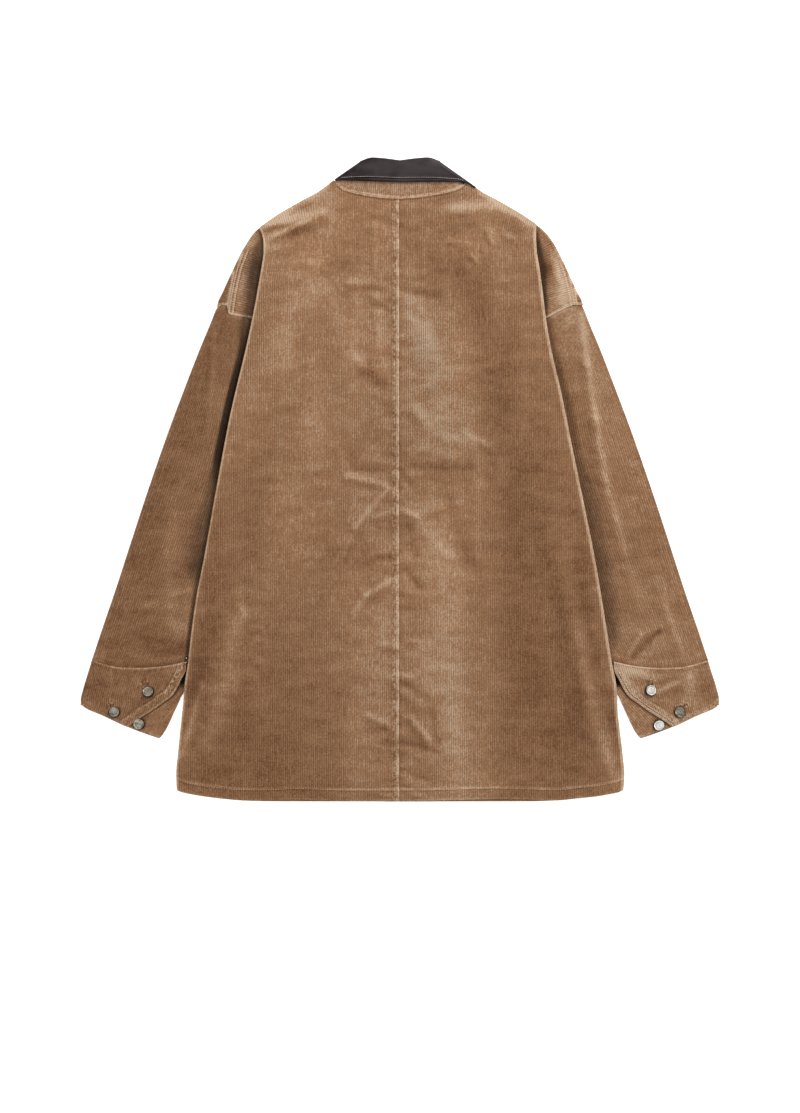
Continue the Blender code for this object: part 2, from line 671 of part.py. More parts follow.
def cuff(side):
    """One band: the flap on top, round the outer fold, below, and back in under the flap."""
    flap, outer_turn, lower, inner_turn, tuck = CUFF_COLUMNS, 3, 7, 2, 4

    def seam(u):
        x = between(*CUFF_TOP, u)
        return (x, CUFF_SEAM("y", x) - SEAM_GAP)

    def edge(u):
        x = between(*CUFF_FOOT, u)
        return (x, CUFF_EDGE("y", x))

    def outer(v):
        y = between(seam(0)[1], edge(0)[1], v)
        return (OUTLINE("x", y) - EDGE_INSET, y)

    def inner(v):
        y = between(seam(1)[1], edge(1)[1], v)
        return (CUFF_INNER("x", y) + INNER_INSET, y)

    def flap_edge(u):
        x = between(CUFF_FOOT[0], FLAP_FOOT[0], u)
        return (x, CUFF_EDGE("y", x))

    def flap_end(v):
        y = between(seam(1)[1], FLAP_FOOT[1], v)
        return (max(FLAP_END("x", y), CUFF_INNER("x", y) + FLAP_INSET), y)

    def form(i, j):
        v = j / CUFF_ROWS
        if i <= flap:
            x, y = patch(seam, flap_edge, outer, flap_end, 1 - i / flap, v)
            return (side * x, y, sleeve_height(side, x, y))
        i -= flap
        if i <= outer_turn:
            x, y = outer(v)
            radius = (sleeve_height(side, x, y) - FLOOR_PLY) / 2
            a = math.pi * i / outer_turn
            x += radius * math.sin(a)
            return (side * x, y, FLOOR_PLY + radius * (1 + math.cos(a)))
        i -= outer_turn
        if i <= lower:
            x, y = patch(seam, edge, outer, inner, i / lower, v)
            return (side * x, y, FLOOR_PLY)
        i -= lower
        radius = (UNDER_END_HEIGHT - FLOOR_PLY) / 2
        if i <= inner_turn:
            x, y = inner(v)
            a = math.pi * i / inner_turn
            x -= radius * math.sin(a)
            return (side * x, y, FLOOR_PLY + radius * (1 - math.cos(a)))
        i -= inner_turn
        hidden = (flap_end(v)[0] + UNDER_END_TUCK - inner(v)[0]) / (outer(v)[0] - inner(v)[0])
        x, y = patch(seam, edge, outer, inner, 1 - hidden * i / tuck, v)
        return (side * x, y, UNDER_END_HEIGHT)

    columns = flap + outer_turn + lower + inner_turn + tuck
    return cloth(f"cuff_{side_word(side)}", columns, CUFF_ROWS, form)


def side_angle(turn):
    """How far round the side of the neck the collar has turned: 0 on the back, pi at the front."""
    start, end = SIDE_TURN
    return math.pi * min(max((abs(turn) - start) / (end - start), 0.0), 1.0)


def collar_out(turn, line):
    side = -1 if turn < 0 else 1
    return Vector((side * TURN_OUT[line][0], TURN_OUT[line][1], 0.0))


def collar_inward(turn):
    """From the leaf towards the stand: down on the back, inward at the side, up at the front."""
    a = side_angle(turn)
    return -collar_out(turn, "crease") * math.sin(a) - Vector((0.0, 0.0, math.cos(a)))


def collar_point(turn, line):
    """A point of one of the collar's lines. turn runs from -1 to 1 round the neck."""
    side = -1 if turn < 0 else 1
    start, end = SIDE_TURN
    a = side_angle(turn)
    less, more, comes, goes = LEFT_SHORT[line] if side < 0 else (0, 0, 0, 1)
    share = smooth((abs(turn) - comes) / (start - comes)) * smooth((goes - abs(turn)) / (goes - end))
    short = Vector((less, more, 0.0)) * share
    if 0 < a < math.pi:
        over, under = COLLAR(f"{line}_z", start), COLLAR(f"{line}_z", end)
        radius = (over - under) / 2
        y = between(COLLAR(f"{line}_y", start), COLLAR(f"{line}_y", end), a / math.pi)
        point = Vector((side * COLLAR(f"{line}_x", start), y, over - radius * (1 - math.cos(a))))
        return point + short + collar_out(turn, line) * radius * math.sin(a)
    at = [COLLAR(f"{line}_{axis}", abs(turn)) for axis in "xyz"]
    return Vector((side * at[0], at[1], at[2])) + short


def collar_turn(i):
    k = i - (len(TURNS) - 1)
    return TURNS[k] if k >= 0 else -TURNS[-k]


def collar_stand():
    """The corduroy band from the neck seam up to the crease, inside the leaf."""
    rows = 3

    def form(i, j):
        turn = collar_turn(i)
        neck, crease = collar_point(turn, "neck"), collar_point(turn, "crease")
        leaf = collar_point(turn, "leaf")
        crease += collar_inward(turn) * (LEAF_CLEAR + 1.0) + (leaf - crease).normalized() * 3.0
        if abs(turn) < 0.4:
            neck.z = back_height(neck.x, neck.y)
        return neck.lerp(crease, j / rows)

    return cloth("collar_stand", 2 * len(TURNS) - 2, rows, form)


def collar_leaf():
    """The leather leaf: it turns over the top of the stand and runs out to its edge."""
    rows = 5

    def form(i, j):
        turn = collar_turn(i)
        crease, edge = collar_point(turn, "crease"), collar_point(turn, "leaf")
        inward = collar_inward(turn)
        over = crease - edge
        over = (over - inward * over.dot(inward)).normalized()
        if j == 0:
            return crease + inward * 2 * CREASE_RADIUS
        if j == 1:
            return crease + (inward + over) * CREASE_RADIUS
        t = (j - 2) / (rows - 2)
        point = crease.lerp(edge, t)
        if abs(turn) < SIDE_TURN[0]:
            point.z += 1.6 * math.sin(math.pi * t)
        return point

    columns = 2 * len(TURNS) - 2
    return cloth("collar_leaf", columns, rows, form, wall=LEATHER, look=LEATHER_LOOK)


def button(name, x, y, z, shank, tilt):
    """A turned tack button: a shank, a plain dished face and a raised rim."""
    profile = [
        (0.0, 0.7), (5.2, 0.7), (6.0, 1.1), (6.7, 0.9), (BUTTON_RADIUS, 0.2), (6.5, -0.8),
        (SHANK_RADIUS, -1.0), (SHANK_RADIUS, -1.0 - shank), (0.0, -1.0 - shank),
    ]  # fmt: skip
    bm = bmesh.new()
    verts = [bm.verts.new((r * MM, 0.0, h * MM)) for r, h in profile]
    for a, b in zip(verts, verts[1:]):
        bm.edges.new((a, b))
    bmesh.ops.spin(
        bm,
        geom=bm.verts[:] + bm.edges[:],
        axis=(0, 0, 1),
        cent=(0, 0, 0),
        angle=math.tau,
        steps=BUTTON_SIDES,
        use_merge=True,
    )
    bmesh.ops.remove_doubles(bm, verts=bm.verts, dist=1e-6)
    bmesh.ops.recalc_face_normals(bm, faces=bm.faces)
    mesh = bpy.data.meshes.new(name)
    bm.to_mesh(mesh)
    bm.free()
    piece = add(name, mesh, METAL)
    turn = Matrix.Rotation(math.radians(tilt), 4, "Y")
    piece.matrix_world = Matrix.Translation(place((x, y, z))) @ turn
    return piece


def main():
    for old in list(bpy.data.objects):
        bpy.data.objects.remove(old, do_unlink=True)
    group = bpy.data.collections.new(COLLECTION)
    bpy.context.scene.collection.children.link(group)

    for side in (-1, 1):
        back(side)
        shoulder_end(side)
        front(side)
        sleeve(side)
        cuff(side)
        for which, x, y, z, shank, tilt in CUFF_BUTTONS:
            name = f"button_{side_word(side)}_{which}"
            button(name, side * x, y, z, shank, side * tilt)
    collar_stand()
    collar_leaf()


main()
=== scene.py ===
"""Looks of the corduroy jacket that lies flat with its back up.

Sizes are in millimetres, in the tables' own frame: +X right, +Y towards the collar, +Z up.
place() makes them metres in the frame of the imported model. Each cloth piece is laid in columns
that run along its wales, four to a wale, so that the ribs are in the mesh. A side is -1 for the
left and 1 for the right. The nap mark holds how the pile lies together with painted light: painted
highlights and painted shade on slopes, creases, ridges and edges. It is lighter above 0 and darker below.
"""
import math

import bmesh
import bpy
import numpy as np
from mathutils import Euler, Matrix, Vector


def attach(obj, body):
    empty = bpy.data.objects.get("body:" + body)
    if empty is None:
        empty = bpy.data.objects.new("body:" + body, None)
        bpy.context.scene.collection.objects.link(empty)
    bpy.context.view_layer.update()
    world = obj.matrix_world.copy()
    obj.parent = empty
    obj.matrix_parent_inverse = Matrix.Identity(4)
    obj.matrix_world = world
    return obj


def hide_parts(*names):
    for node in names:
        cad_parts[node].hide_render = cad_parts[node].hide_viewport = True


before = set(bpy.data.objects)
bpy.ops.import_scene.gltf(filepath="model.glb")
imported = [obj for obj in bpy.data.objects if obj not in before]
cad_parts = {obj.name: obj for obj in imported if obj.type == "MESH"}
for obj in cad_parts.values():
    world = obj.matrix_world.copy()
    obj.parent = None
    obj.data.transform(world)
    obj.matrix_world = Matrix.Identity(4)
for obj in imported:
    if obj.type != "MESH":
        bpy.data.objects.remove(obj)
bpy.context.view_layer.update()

MM = 0.001
SIDES = {-1: "left", 1: "right"}
UP = (0.0, 0.0, 1.0)
MIDDLE_Y = 0.48  # the tables' y of the middle of the garment's length
CLOTH = 1.6
HALF = CLOTH / 2
SEAM_GAP = 0.3

WALE = 2.8
PER_WALE = 4  # columns to a wale
COLUMN = WALE / PER_WALE
WALE_DEPTH = 0.6
CROWN = 0.3  # how far the crowns stand above the cloth's wall
TOP = HALF + CROWN  # from the middle of the wall to the crowns
EDGE_FADE = 3.0  # the wales sink over this width at a folded edge
GRAIN = 0.24  # how much the tone differs from one short stretch of a wale to the next

SEAM_X = -0.5  # the centre-back seam
SEWN_BAND = (4.2, 10.4)  # the sewn part of the felled seam, to the left of SEAM_X
FOLD_TOP = {-1: 326.0, 1: 331.0}  # where the side folds begin, at the shoulder
FOLD_RADIUS = 1.3  # of the thin turned edge at each side
UNDERARM_X = 178.5
UNDERARM_Y = 61.8
HALF_WIDTH = 293.0  # the columns of the back and fronts go on to here
SHOULDER_TOP = {-1: 389.0, 1: 380.5}
COLLAR_TIP_X = 58.0
COLLAR_TIP_Y = 288.0
COLLAR_RISE = 3.2  # how far the collar's ends lift what lies on them
FRONT_LAP = 20.0
LAP_RISE = 2.4
HEM_TURN = 14.0
HEM_RADIUS = 1.25
NECK_SEAM_END = 84.0
UNDER_END_HEIGHT = 3.1
CUFF_TOP_Y = -235.5
CUFF_CORNER = (311.9, -335.5)
CUFF_MIDDLE = (345.0, -262.0)

BACK_ROWS = 216
SLEEVE_ROWS = 130
CUFF_ROWS = 26
TURN_COLUMNS = 12  # round a fold
ROLL_STEPS = 6  # round a turned edge


def smooth(t):
    t = np.clip(t, 0.0, 1.0)
    return t * t * (3 - 2 * t)


def between(a, b, t):
    return a + (b - a) * t


def bell(distance, width):
    return np.exp(-((distance / width) ** 2))


def band(at, start, end, rise=1.0, fall=None):
    """1 inside start and end, with a soft edge of its own width at each."""
    return smooth((at - start) / rise) * smooth((end - at) / (fall or rise))


def xyz(x, y, z=0.0):
    return np.stack(np.broadcast_arrays(x, y, z), -1)


class Table:
    """Rows of named columns. Between its rows a column follows a smooth curve with no overshoot."""

    def __init__(self, columns, *rows):
        self.names = columns.split()
        self.rows = np.array(sorted(rows), float)

    def __call__(self, column, at):
        x = self.rows[:, 0]
        y = self.rows[:, self.names.index(column)]
        step = np.diff(x)
        rise = np.diff(y) / step
        slope = np.zeros(len(x))
        slope[0], slope[-1] = rise[0], rise[-1]
        before, after = rise[:-1], rise[1:]
        same = before * after > 0
        slope[1:-1][same] = 2 / (1 / before[same] + 1 / after[same])
        at = np.clip(at, x[0], x[-1])
        k = np.clip(np.searchsorted(x, at) - 1, 0, len(x) - 2)
        t = (at - x[k]) / step[k]
        return (
            (2 * t**3 - 3 * t**2 + 1) * y[k]
            + (t**3 - 2 * t**2 + t) * step[k] * slope[k]
            + (3 * t**2 - 2 * t**3) * y[k + 1]
            + (t**3 - t**2) * step[k] * slope[k + 1]
        )


# The garment's sizes, the same as the solids'.
OUTLINE = Table(
    "y x",
    (389.4, 86.5), (381.6, 96.2), (373.8, 107.2), (363.4, 126.8), (352.9, 145.6), (342.6, 162.5),
    (332.2, 176.8), (321.8, 189.2), (311.4, 197), (300.9, 203.5), (280.2, 213.8), (249, 228.2),
    (228.2, 237.2), (207.3, 245.1), (168.3, 261.3), (116.4, 281.4), (64.4, 300.9), (12.3, 319.2),
    (-39.6, 336.7), (-91.7, 353.6), (-143.7, 370.5), (-195.7, 388.1), (-247.7, 404.9), (-273.7, 412.8),
    (-286.7, 415.4), (-291.5, 414.8),
)  # fmt: skip
SIDE_FOLD = Table(
    "y left right",
    (331, 183.2, 177.6), (326, 183, 177), (319, 179.4, 176.7), (311, 177.7, 176.8), (297.1, 177.2, 177.6),
    (274.9, 180.1, 181.1), (246.3, 184.9, 185), (204.8, 192.8, 190.1), (161.8, 202.2, 197.9),
    (119, 212.6, 208), (83.9, 220.6, 215.4), (39.6, 229.2, 224.2), (-26.7, 241.2, 237.9),
    (-104.7, 255.1, 253.4), (-150.2, 264, 261.2), (-199.6, 271.1, 269.1), (-234.7, 274.9, 274.6),
    (-272.4, 280.2, 281.4), (-291.9, 281.5, 282.3), (-302.3, 282.8, 282.9), (-323.1, 285, 285.3),
    (-355.6, 288.4, 289.2), (-382.9, 290.8, 291.6), (-400, 290.2, 290.8),
)  # fmt: skip
FOLD_HEIGHT = Table(
    "y over under",
    (322.5, 9, 6.8), (300, 10.4, 7.2), (270, 11.2, 7.4), (-235, 11.2, 7.4), (-262, 10.9, 7.2),
    (-290, 9.2, 5.4), (-325, 7, 2.8), (-365, 5.6, 1), (-402, 5.2, 0.8),
)  # fmt: skip
SIDE_SEAM = Table(
    "y x",
    (322.5, 175), (297.1, 164), (274.9, 160), (246.3, 160), (204.8, 166), (168.3, 168), (116.4, 168),
    (61.8, 167.7), (12.3, 175.5), (-39.6, 192.4), (-104.7, 215.8), (-156.7, 234), (-208.7, 250.9),
    (-260.7, 269.1), (-312.7, 276.9), (-364.7, 282.1), (-402, 283),
)  # fmt: skip
SLEEVE_FOLD = Table(
    "y x",
    (61.8, 176.5), (12.3, 184.6), (-39.6, 201.5), (-104.7, 224.9), (-156.7, 243.1), (-208.7, 260),
    (-235.5, 276),
)  # fmt: skip
FRONT_ARMHOLE = Table("y x", (220.3, 239.2), (187.8, 217), (142.3, 196), (96.9, 180), (61.8, 168))
BACK_ARMHOLE = Table(
    "x left right",
    (160, 196, 196), (192, 209, 210.5), (205, 211.5, 217.6), (215.7, 213.4, 222.8), (222.4, 215, 225.6),
    (224.8, 226, 227), (231, 226.6, 227), (238, 222, 225.2), (242, 220, 222),
)  # fmt: skip
SLEEVE_HEIGHT = Table(
    "y edge crown",
    (239, 4.9, 0.3), (190, 4.8, 0.9), (100, 4.6, 1.7), (-150, 4.6, 1.7), (-215, 5, 1), (-240, 5.2, 0.6),
    (-336, 5.2, 0.3),
)  # fmt: skip
HEM = Table(
    "x y",
    (-291, -402.6), (-282.8, -405.8), (-269.8, -408.6), (-254, -411.3), (-233, -413.9), (-204.8, -416.5),
    (-187.8, -417), (-132, -415.4), (-72.2, -417.3), (-4.5, -417.3), (65.7, -416.2), (138.5, -414.6),
    (202.2, -416.4), (230.8, -413.8), (254.2, -411.3), (269.8, -408.6), (282.8, -406), (292, -402.2),
)  # fmt: skip
FRONT_HEM = Table(
    "x y",
    (-30, -417.9), (170, -417.6), (202, -416.5), (230.8, -413.7), (254.2, -411.2), (269.8, -408.5),
    (282.8, -405.9), (292, -402.1),
)  # fmt: skip
# The neck seam, and beyond it the top of the back beside and under the collar, to the side.
NECK = Table(
    "x left right",
    (0, 366.5, 366.5), (24, 367.9, 368.4), (46, 371, 371.7), (66, 375.4, 375.5), (74, 378.4, 378.4),
    (81.6, 384.6, 382.1), (83.2, 388.2, 384), (84.5, 388.2, 385.4), (90.4, 388, 382.8), (97.5, 380, 379.4),
)  # fmt: skip
CUFF_SEAM = Table(
    "x y",
    (277, -235.5), (295, -239.5), (315, -242.5), (338, -243.8), (361, -243.3), (383, -239.3), (400, -233.7),
)  # fmt: skip
CUFF_EDGE = Table(
    "x y",
    (311.9, -335.3), (323.8, -331.5), (354, -320.2), (390.4, -303.4), (401, -299.2), (407.5, -296),
    (411.5, -293), (413.8, -289.5), (415.2, -285),
)  # fmt: skip
CUFF_INNER = Table(
    "y x",
    (-235.5, 277), (-262, 281), (-277.5, 283.5), (-299.7, 292.5), (-325.7, 304.9), (-335.5, 311.9),
)  # fmt: skip
FLAP_END = Table(
    "y x",
    (-235.5, 277.3), (-247, 278), (-252, 280.2), (-262, 285.8), (-279, 295.8), (-290, 309.5), (-300, 323.5),
    (-309, 338), (-320.2, 354),
)  # fmt: skip

# The buttons: side, which, x, y, height of the face's middle, tilt outwards, tilt up the sleeve,
# look, and which way the buttonhole runs from it, in degrees from the right.
BUTTONS = (
    (-1, "upper", -327.4, -275.0, 9.0, 10.0, 28.0, "metal_painted_mid_light", 122.0),
    (-1, "outer", -371.4, -300.9, 9.2, -27.0, 4.0, "metal_painted_shade", 118.0),
    (-1, "spare", -339.4, -317.2, 8.4, 4.0, 16.0, "metal_painted_mid_light", None),
    (1, "upper", 326.0, -273.2, 8.8, 18.0, 8.0, "metal_painted_highlight", 84.0),
    (1, "outer", 363.6, -301.2, 9.2, -30.0, -6.0, "metal_painted_mid_light", 55.0),
    (1, "spare", 336.6, -319.0, 8.8, -16.0, 22.0, "metal_painted_reflection", None),
)

# Creases: the two ends of the line where their slope catches the light, half width and height.
# A trough has a negative height, and its line is the dark slope.
BACK_CREASES = (
    (-70, 6, -20, -5, 5, 1.5), (-62, 17, -20, 13, 6, -0.8), (-16, -12, -60, -62, 5, 1.5),
    (-10, -40, -36, -48, 4.5, 0.8), (-48, -62, -72, -108, 5, -0.6), (-38, -96, -12, -90, 5, 1.2),
    (-14, -101, -30, -100, 4.5, -1), (-12, -130, -44, -149, 5.5, 1.5), (-44, -149, -60, -172, 6, 1.2),
    (-24, -212, -14, -213, 4.5, 0.8), (-42, -305, -15, -315, 5, 1.3), (-44, -326, -20, -323, 5, -0.6),
    (-22, -341, -15, -338, 4.5, -1), (-56, 158, -46, 150, 7, 1), (-48, 139, -34, 136, 7, -0.4),
    (-31, 125, -19, 123, 6, -0.6), (-50, 68, -15, 86, 5, -0.6), (-66, 257, -18, 254, 4.5, 0.8),
    (-33, 239, -25, 235, 5, 1), (-24, 227, -15, 221, 5, -0.8), (-38, 342, -15, 337, 5, -0.8),
    (-31, 336, -31, 272, 3.5, 0.6), (-28, 215, -27, 165, 6, 0.7), (-76, 36, -73, 22, 4.5, 0.6),
    (6, -40, 22, -46, 5, 1.4), (24, -43, 56, -34, 5.5, 0.6), (22, -52, 64, -96, 9, 0.7),
    (12, -60, 20, -100, 6, -0.7), (5, 247, 50, 239, 5, -0.9), (11, 217, 17, 211, 8, 0.9),
    (27, 222, 32, 215, 6, 0.7), (33, 198, 41, 175, 11, 0.8), (31.5, 306, 31.5, 268, 3.5, 0.7),
    (10, 141, 18, 138, 4.5, 0.8), (22, 94, 38, 72, 9, 1.1), (48, 58, 96, 50, 7, 0.5),
    (84, 62, 116, 46, 5, 0.9), (16, 19, 92, 17, 7, -1.2), (4, 9, 14, -5, 5, -1),
    (8, -117, 26, -138, 5, -1.1), (8, -208, 22, -208, 4.5, 0.6), (26, -234, 64, -246, 8, 0.3),
    (5, -264, 34, -282, 5, -0.9), (16, -309, 38, -338, 4.5, 1.5), (42, -300, 48, -342, 6, -0.8),
    (4, -340, 46, -352, 5, -1), (4, -376, 34, -388, 5, -0.7), (101, 28, 101, -100, 8, 0.5),
    (88, -8, 90, -115, 9, -0.15), (60, -100, 66, -240, 16, 0.2), (68, -240, 76, -405, 16, 0.2),
    (58, -4, 84, -100, 10, -0.4), (-163, 318, -116, 338, 3.5, 1.8), (-170, 334, -96, 349, 8, 1.2),
    (70, 354, 122, 356, 8, 0.9), (112, 323, 122, 322, 3.5, 1.3), (116, 316, 121, 309, 3.5, 1.2),
    (64, 312, 92, 306, 4, 0.9), (93, 292, 101, 284, 3.5, 1.3), (135, 320, 147, 315, 3.5, 1.2),
    (-203, -140, -209, -182, 11, 0.4), (-210, -185, -224, -250, 13, 0.4), (-225, -250, -250, -345, 14, 0.4),
    (-206, -165, -203, -176, 3.5, 0.9), (-257, -268, -285, -360, 6, 1.2), (229, -180, 243, -265, 11, 0.7),
    (243, -268, 270, -370, 12, 0.65), (268, -339, 280, -392, 8, 0.7),
)  # fmt: skip
SLEEVE_CREASES = {
    -1: (
        (-241, 200, -243, 140, 4.5, 0.5), (-243, 140, -250, 60, 4.5, 0.5), (-290, -60, -300, -130, 12, 0.6),
        (-274, -142, -298, -150, 5, 0.8), (-318, -158, -336, -168, 5, 0.6),
        (-278, -214, -312, -208, 6, -0.8),
    ),
    1: (
        (237, 216, 244, 150, 6.5, 1.3), (244, 150, 255, 80, 6.5, 1.7), (255, 80, 268, 0, 7, 1.7),
        (268, 0, 281, -50, 7, 1.5), (281, -50, 293, -95, 7, 1.2), (293, -95, 313, -168, 8, 0.55),
        (335, -118, 346, -165, 7, 0.5), (346, -165, 372, -238, 6, 1), (314, -200, 340, -189, 4, 0.8),
        (297, -226, 312, -203, 4, 1.8), (303, -230, 336, -196, 4.5, -1.6),
    ),
}  # fmt: skip
LIT_FROM = np.array([0.6, 0.8])  # where the light comes from, seen from above
CREASE_RISE = 0.75
CREASE_PAINTED_LIGHT = 0.28  # painted light along creases: more along the light, where the slope itself shows least

# Patches where the pile lies over and where light and shade are painted on: x, y, half sizes, turn in
# degrees, strength.
BACK_GROOVE_SHADE = (  # where the painted shade in the grooves is stronger or weaker, so the ribs stand out more or less than elsewhere
    (32, 150, 28, 100, 0, 1.1), (-110, 250, 70, 110, 0, -0.35), (110, 270, 60, 80, 0, -0.2),
    (60, 60, 50, 60, 0, 0.4),
)  # fmt: skip
BACK_NAP_AND_PAINTED_LIGHT = (
    (-140, 341, 42, 8, 14, 0.9), (-106, 366, 26, 5, 15, 0.7), (-123, 356, 20, 4, 20, -0.2),
    (-158, 328.5, 18, 4, 4, -0.9), (-127, 321.5, 34, 5, 19, -0.8), (-140, 315, 10, 7, 0, -0.5),
    (-96, 334, 20, 12, 10, 0.7), (-98, 310, 22, 14, 0, 0.7), (-168, 312, 16, 10, 40, 0.9),
    (-136, 300, 22, 13, 0, -0.5), (-55, 310, 22, 34, 0, -0.35), (-108, 266, 22, 12, 0, -0.4),
    (-125, 200, 16, 120, 0, -0.6), (-147, 196, 92, 20, 64, 0.5), (146, 347, 42, 7, -30, 1),
    (134, 334, 24, 8, -28, -0.6), (98, 355, 30, 9, -5, 1), (68, 352, 16, 8, 0, 0.8),
    (172, 325, 14, 12, -40, 0.6), (60, 326, 52, 13, 0, -0.6), (128, 240, 16, 75, 0, 0.7),
    (-51, 261, 20, 5, 4, 0.5), (-36, 251, 15, 5, 0, -0.5), (-38, 195, 30, 60, 0, 0.6),
    (-54, 155, 14, 9, 0, 0.3), (-24, 125, 12, 9, -10, -0.8), (-42, 137, 10, 8, 0, -0.5),
    (-62, 36, 14, 16, 0, -0.6), (-138, 70, 14, 80, 0, -0.35), (-38, -14, 26, 9, 0, 0.5),
    (-22, -172, 26, 30, 0, 0.35), (-95, -78, 16, 34, 0, -0.4), (-48, 75, 20, 34, 0, 0.45),
    (-44, -45, 20, 40, 0, 0.6), (-62, -115, 30, 22, 0, -0.2), (-32, -240, 26, 60, 0, 0.6),
    (-46, -352, 20, 60, 0, 0.6), (-172, -380, 104, 185, 0, -0.8), (-190, -45, 34, 90, 0, -0.6),
    (-200, -208, 13, 66, -6, -0.55), (-212, -290, 16, 20, 0, -0.3), (-245, -378, 40, 26, 0, -0.4),
    (-248, -120, 26, 140, 0, -0.7), (-216, -212, 42, 12, 74, 0.2), (-237, -300, 50, 14, 74, 0.3),
    (-270, -316, 44, 5, 73, 0.4), (-258, -232, 16, 42, 0, -0.7), (-255, -385, 26, 14, 0, -0.5),
    (88, 240, 76, 21, -72, -0.6), (68, 276, 28, 20, -35, -0.5), (200, 265, 14, 20, 0, -0.3),
    (12, 222, 20, 26, 0, 0.3), (13, 272, 12, 9, 0, 0.5), (34, 176, 50, 21, -68, 1.1),
    (60, 124, 32, 22, 0, 0.15), (60, 212, 14, 12, 0, 0.5), (48, 80, 62, 33, -42, 0.75),
    (72, 70, 16, 10, -30, -0.45), (36, 52, 16, 12, 0, 0.35), (100, 47, 22, 10, -12, 0.5),
    (56, 6, 44, 11, 0, -0.7), (45, -72, 40, 14, -62, 0.3), (76, -55, 48, 11, -72, -0.4),
    (56, -240, 36, 150, 2, 0.5), (36, -250, 14, 60, 0, 0.3), (116, -240, 18, 150, 0, 0.3),
    (44, -100, 16, 26, 0, 0.4), (20, -158, 12, 16, 0, -0.45), (66, -270, 20, 44, 0, 0.2),
    (92, -364, 26, 50, 0, 0.4), (22, -305, 20, 40, 0, -0.2), (170, -170, 62, 320, 0, -0.95),
    (176, -110, 128, 19, -75, 1.15), (232, -64, 12, 48, 14, -0.45), (239, -150, 12, 44, 10, -0.8),
    (132, 0, 14, 40, 0, 0.4), (236, -226, 48, 9, -77, 0.4), (257, -322, 58, 10, -75, 0.5),
    (256, -232, 40, 9, -77, -0.8), (275, -308, 30, 5, -80, -0.5), (218, -330, 26, 64, 0, -0.6),
    (-262, -268, 10, 24, 0, -0.6), (240, -375, 16, 20, 0, -0.4), (-130, 296, 24, 16, 0, -0.35),
    (-90, 262, 18, 14, 0, 0.45), (130, 330, 18, 10, 0, 0.4), (100, 8, 10, 12, 0, 0.5),
    (222, -222, 10, 20, 0, 0.4), (-40, 50, 10, 14, 0, 0.45), (-42, 147, 10, 9, 0, -0.35),
)  # fmt: skip
SHOULDER_NAP_AND_PAINTED_LIGHT = {
    -1: (
        (-199, 283, 12, 26, 0, 0.2), (-220, 240, 12, 26, -24, 0.9), (-195, 307, 5, 9, -25, 1),
    ),
    1: (
        (190, 290, 9, 24, 0, -0.6), (193, 275, 8, 12, 0, -1.5), (211, 262, 9, 34, 22, 2.3),
        (214, 238, 15, 13, 0, 1.5), (218, 226, 12, 10, 0, 0.8),
    ),
}  # fmt: skip
SLEEVE_NAP_AND_PAINTED_LIGHT = {
    -1: (
        (-297, -160, 11, 18, 10, 0.8), (-290, -193, 12, 12, 0, 0.8), (-290, -222, 18, 7, 5, -1),
        (-322, -212, 16, 10, -30, -0.6), (-325, -163, 12, 4, -10, 0.5), (-297, -60, 70, 8, 75, 0.3),
        (-390, -230, 7, 14, -18, 0.5),
    ),
    1: (
        (232, 224, 5, 5, 0, -1.2), (222, 210, 8, 8, 0, 0.7), (236, 198, 7, 22, 8, 0.7),
        (234, 60, 110, 9, -76, -0.4), (300, -80, 70, 24, -70, -0.35), (334, -80, 110, 14, -71, -0.35),
    ),
}  # fmt: skip
CUFF_NAP_AND_PAINTED_LIGHT = {
    -1: (
        (-392, -268, 22, 28, 0, -0.35), (-292, -247, 12, 7, 0, 0.7), (-340, -262, 6, 5, 0, 0.6),
        (-332, -258, 4, 6, 0, -0.8), (-372, -290, 9, 2.5, -60, 0.8), (-325, -252, 30, 4, 0, -0.3),
        (-375.2, -256, 1.2, 13, 0, 0.9),
    ),
    1: (
        (304, -248, 26, 7, -12, 2.1), (292, -256, 17, 3.5, -66, 1.5), (303, -266, 15, 3, -55, 1),
        (330, -262, 26, 6, -8, -0.4), (378, -258, 7, 26, 0, 0.9), (347, -269, 17, 2.6, 26, 1.2),
        (350, -277, 20, 5, 20, -0.6), (346, -259, 16, 4, 14, -0.5), (398, -262, 10, 24, 12, -0.3),
    ),
}  # fmt: skip
# Painted shade in the slits of the buttonholes, as patches of the same kind.
BUTTONHOLE_SLITS = {
    -1: (
        (-331.5, -265.5, 1.8, 4, 32, -1.2), (-375.5, -292.5, 1.8, 4, 28, -1.2),
    ),
    1: (
        (327, -264, 1.8, 4, -6, -1.2), (368.6, -294, 1.8, 4, -35, -1.2),
    ),
}  # fmt: skip

# How much lighter or darker each side's pieces are as a whole, and the painted highlights and painted shade
# along their edges, folds and rows of stitches.
SLEEVE_TONE = {-1: -0.65, 1: 0.05}
# Painted light along the sleeve's outer edge: a highlight on the left, darker on the right.
OUTLINE_PAINTED_LIGHT = {-1: 0.4, 1: -0.6}
CUFF_TONE = {-1: -0.5, 1: 0.1}
# Painted highlight along each side fold's edge, and how far in from the edge it reaches.
SIDE_FOLD_HIGHLIGHT = {-1: 1.3, 1: 1.5}
SIDE_FOLD_HIGHLIGHT_REACH = {-1: 3.2, 1: 4.8}
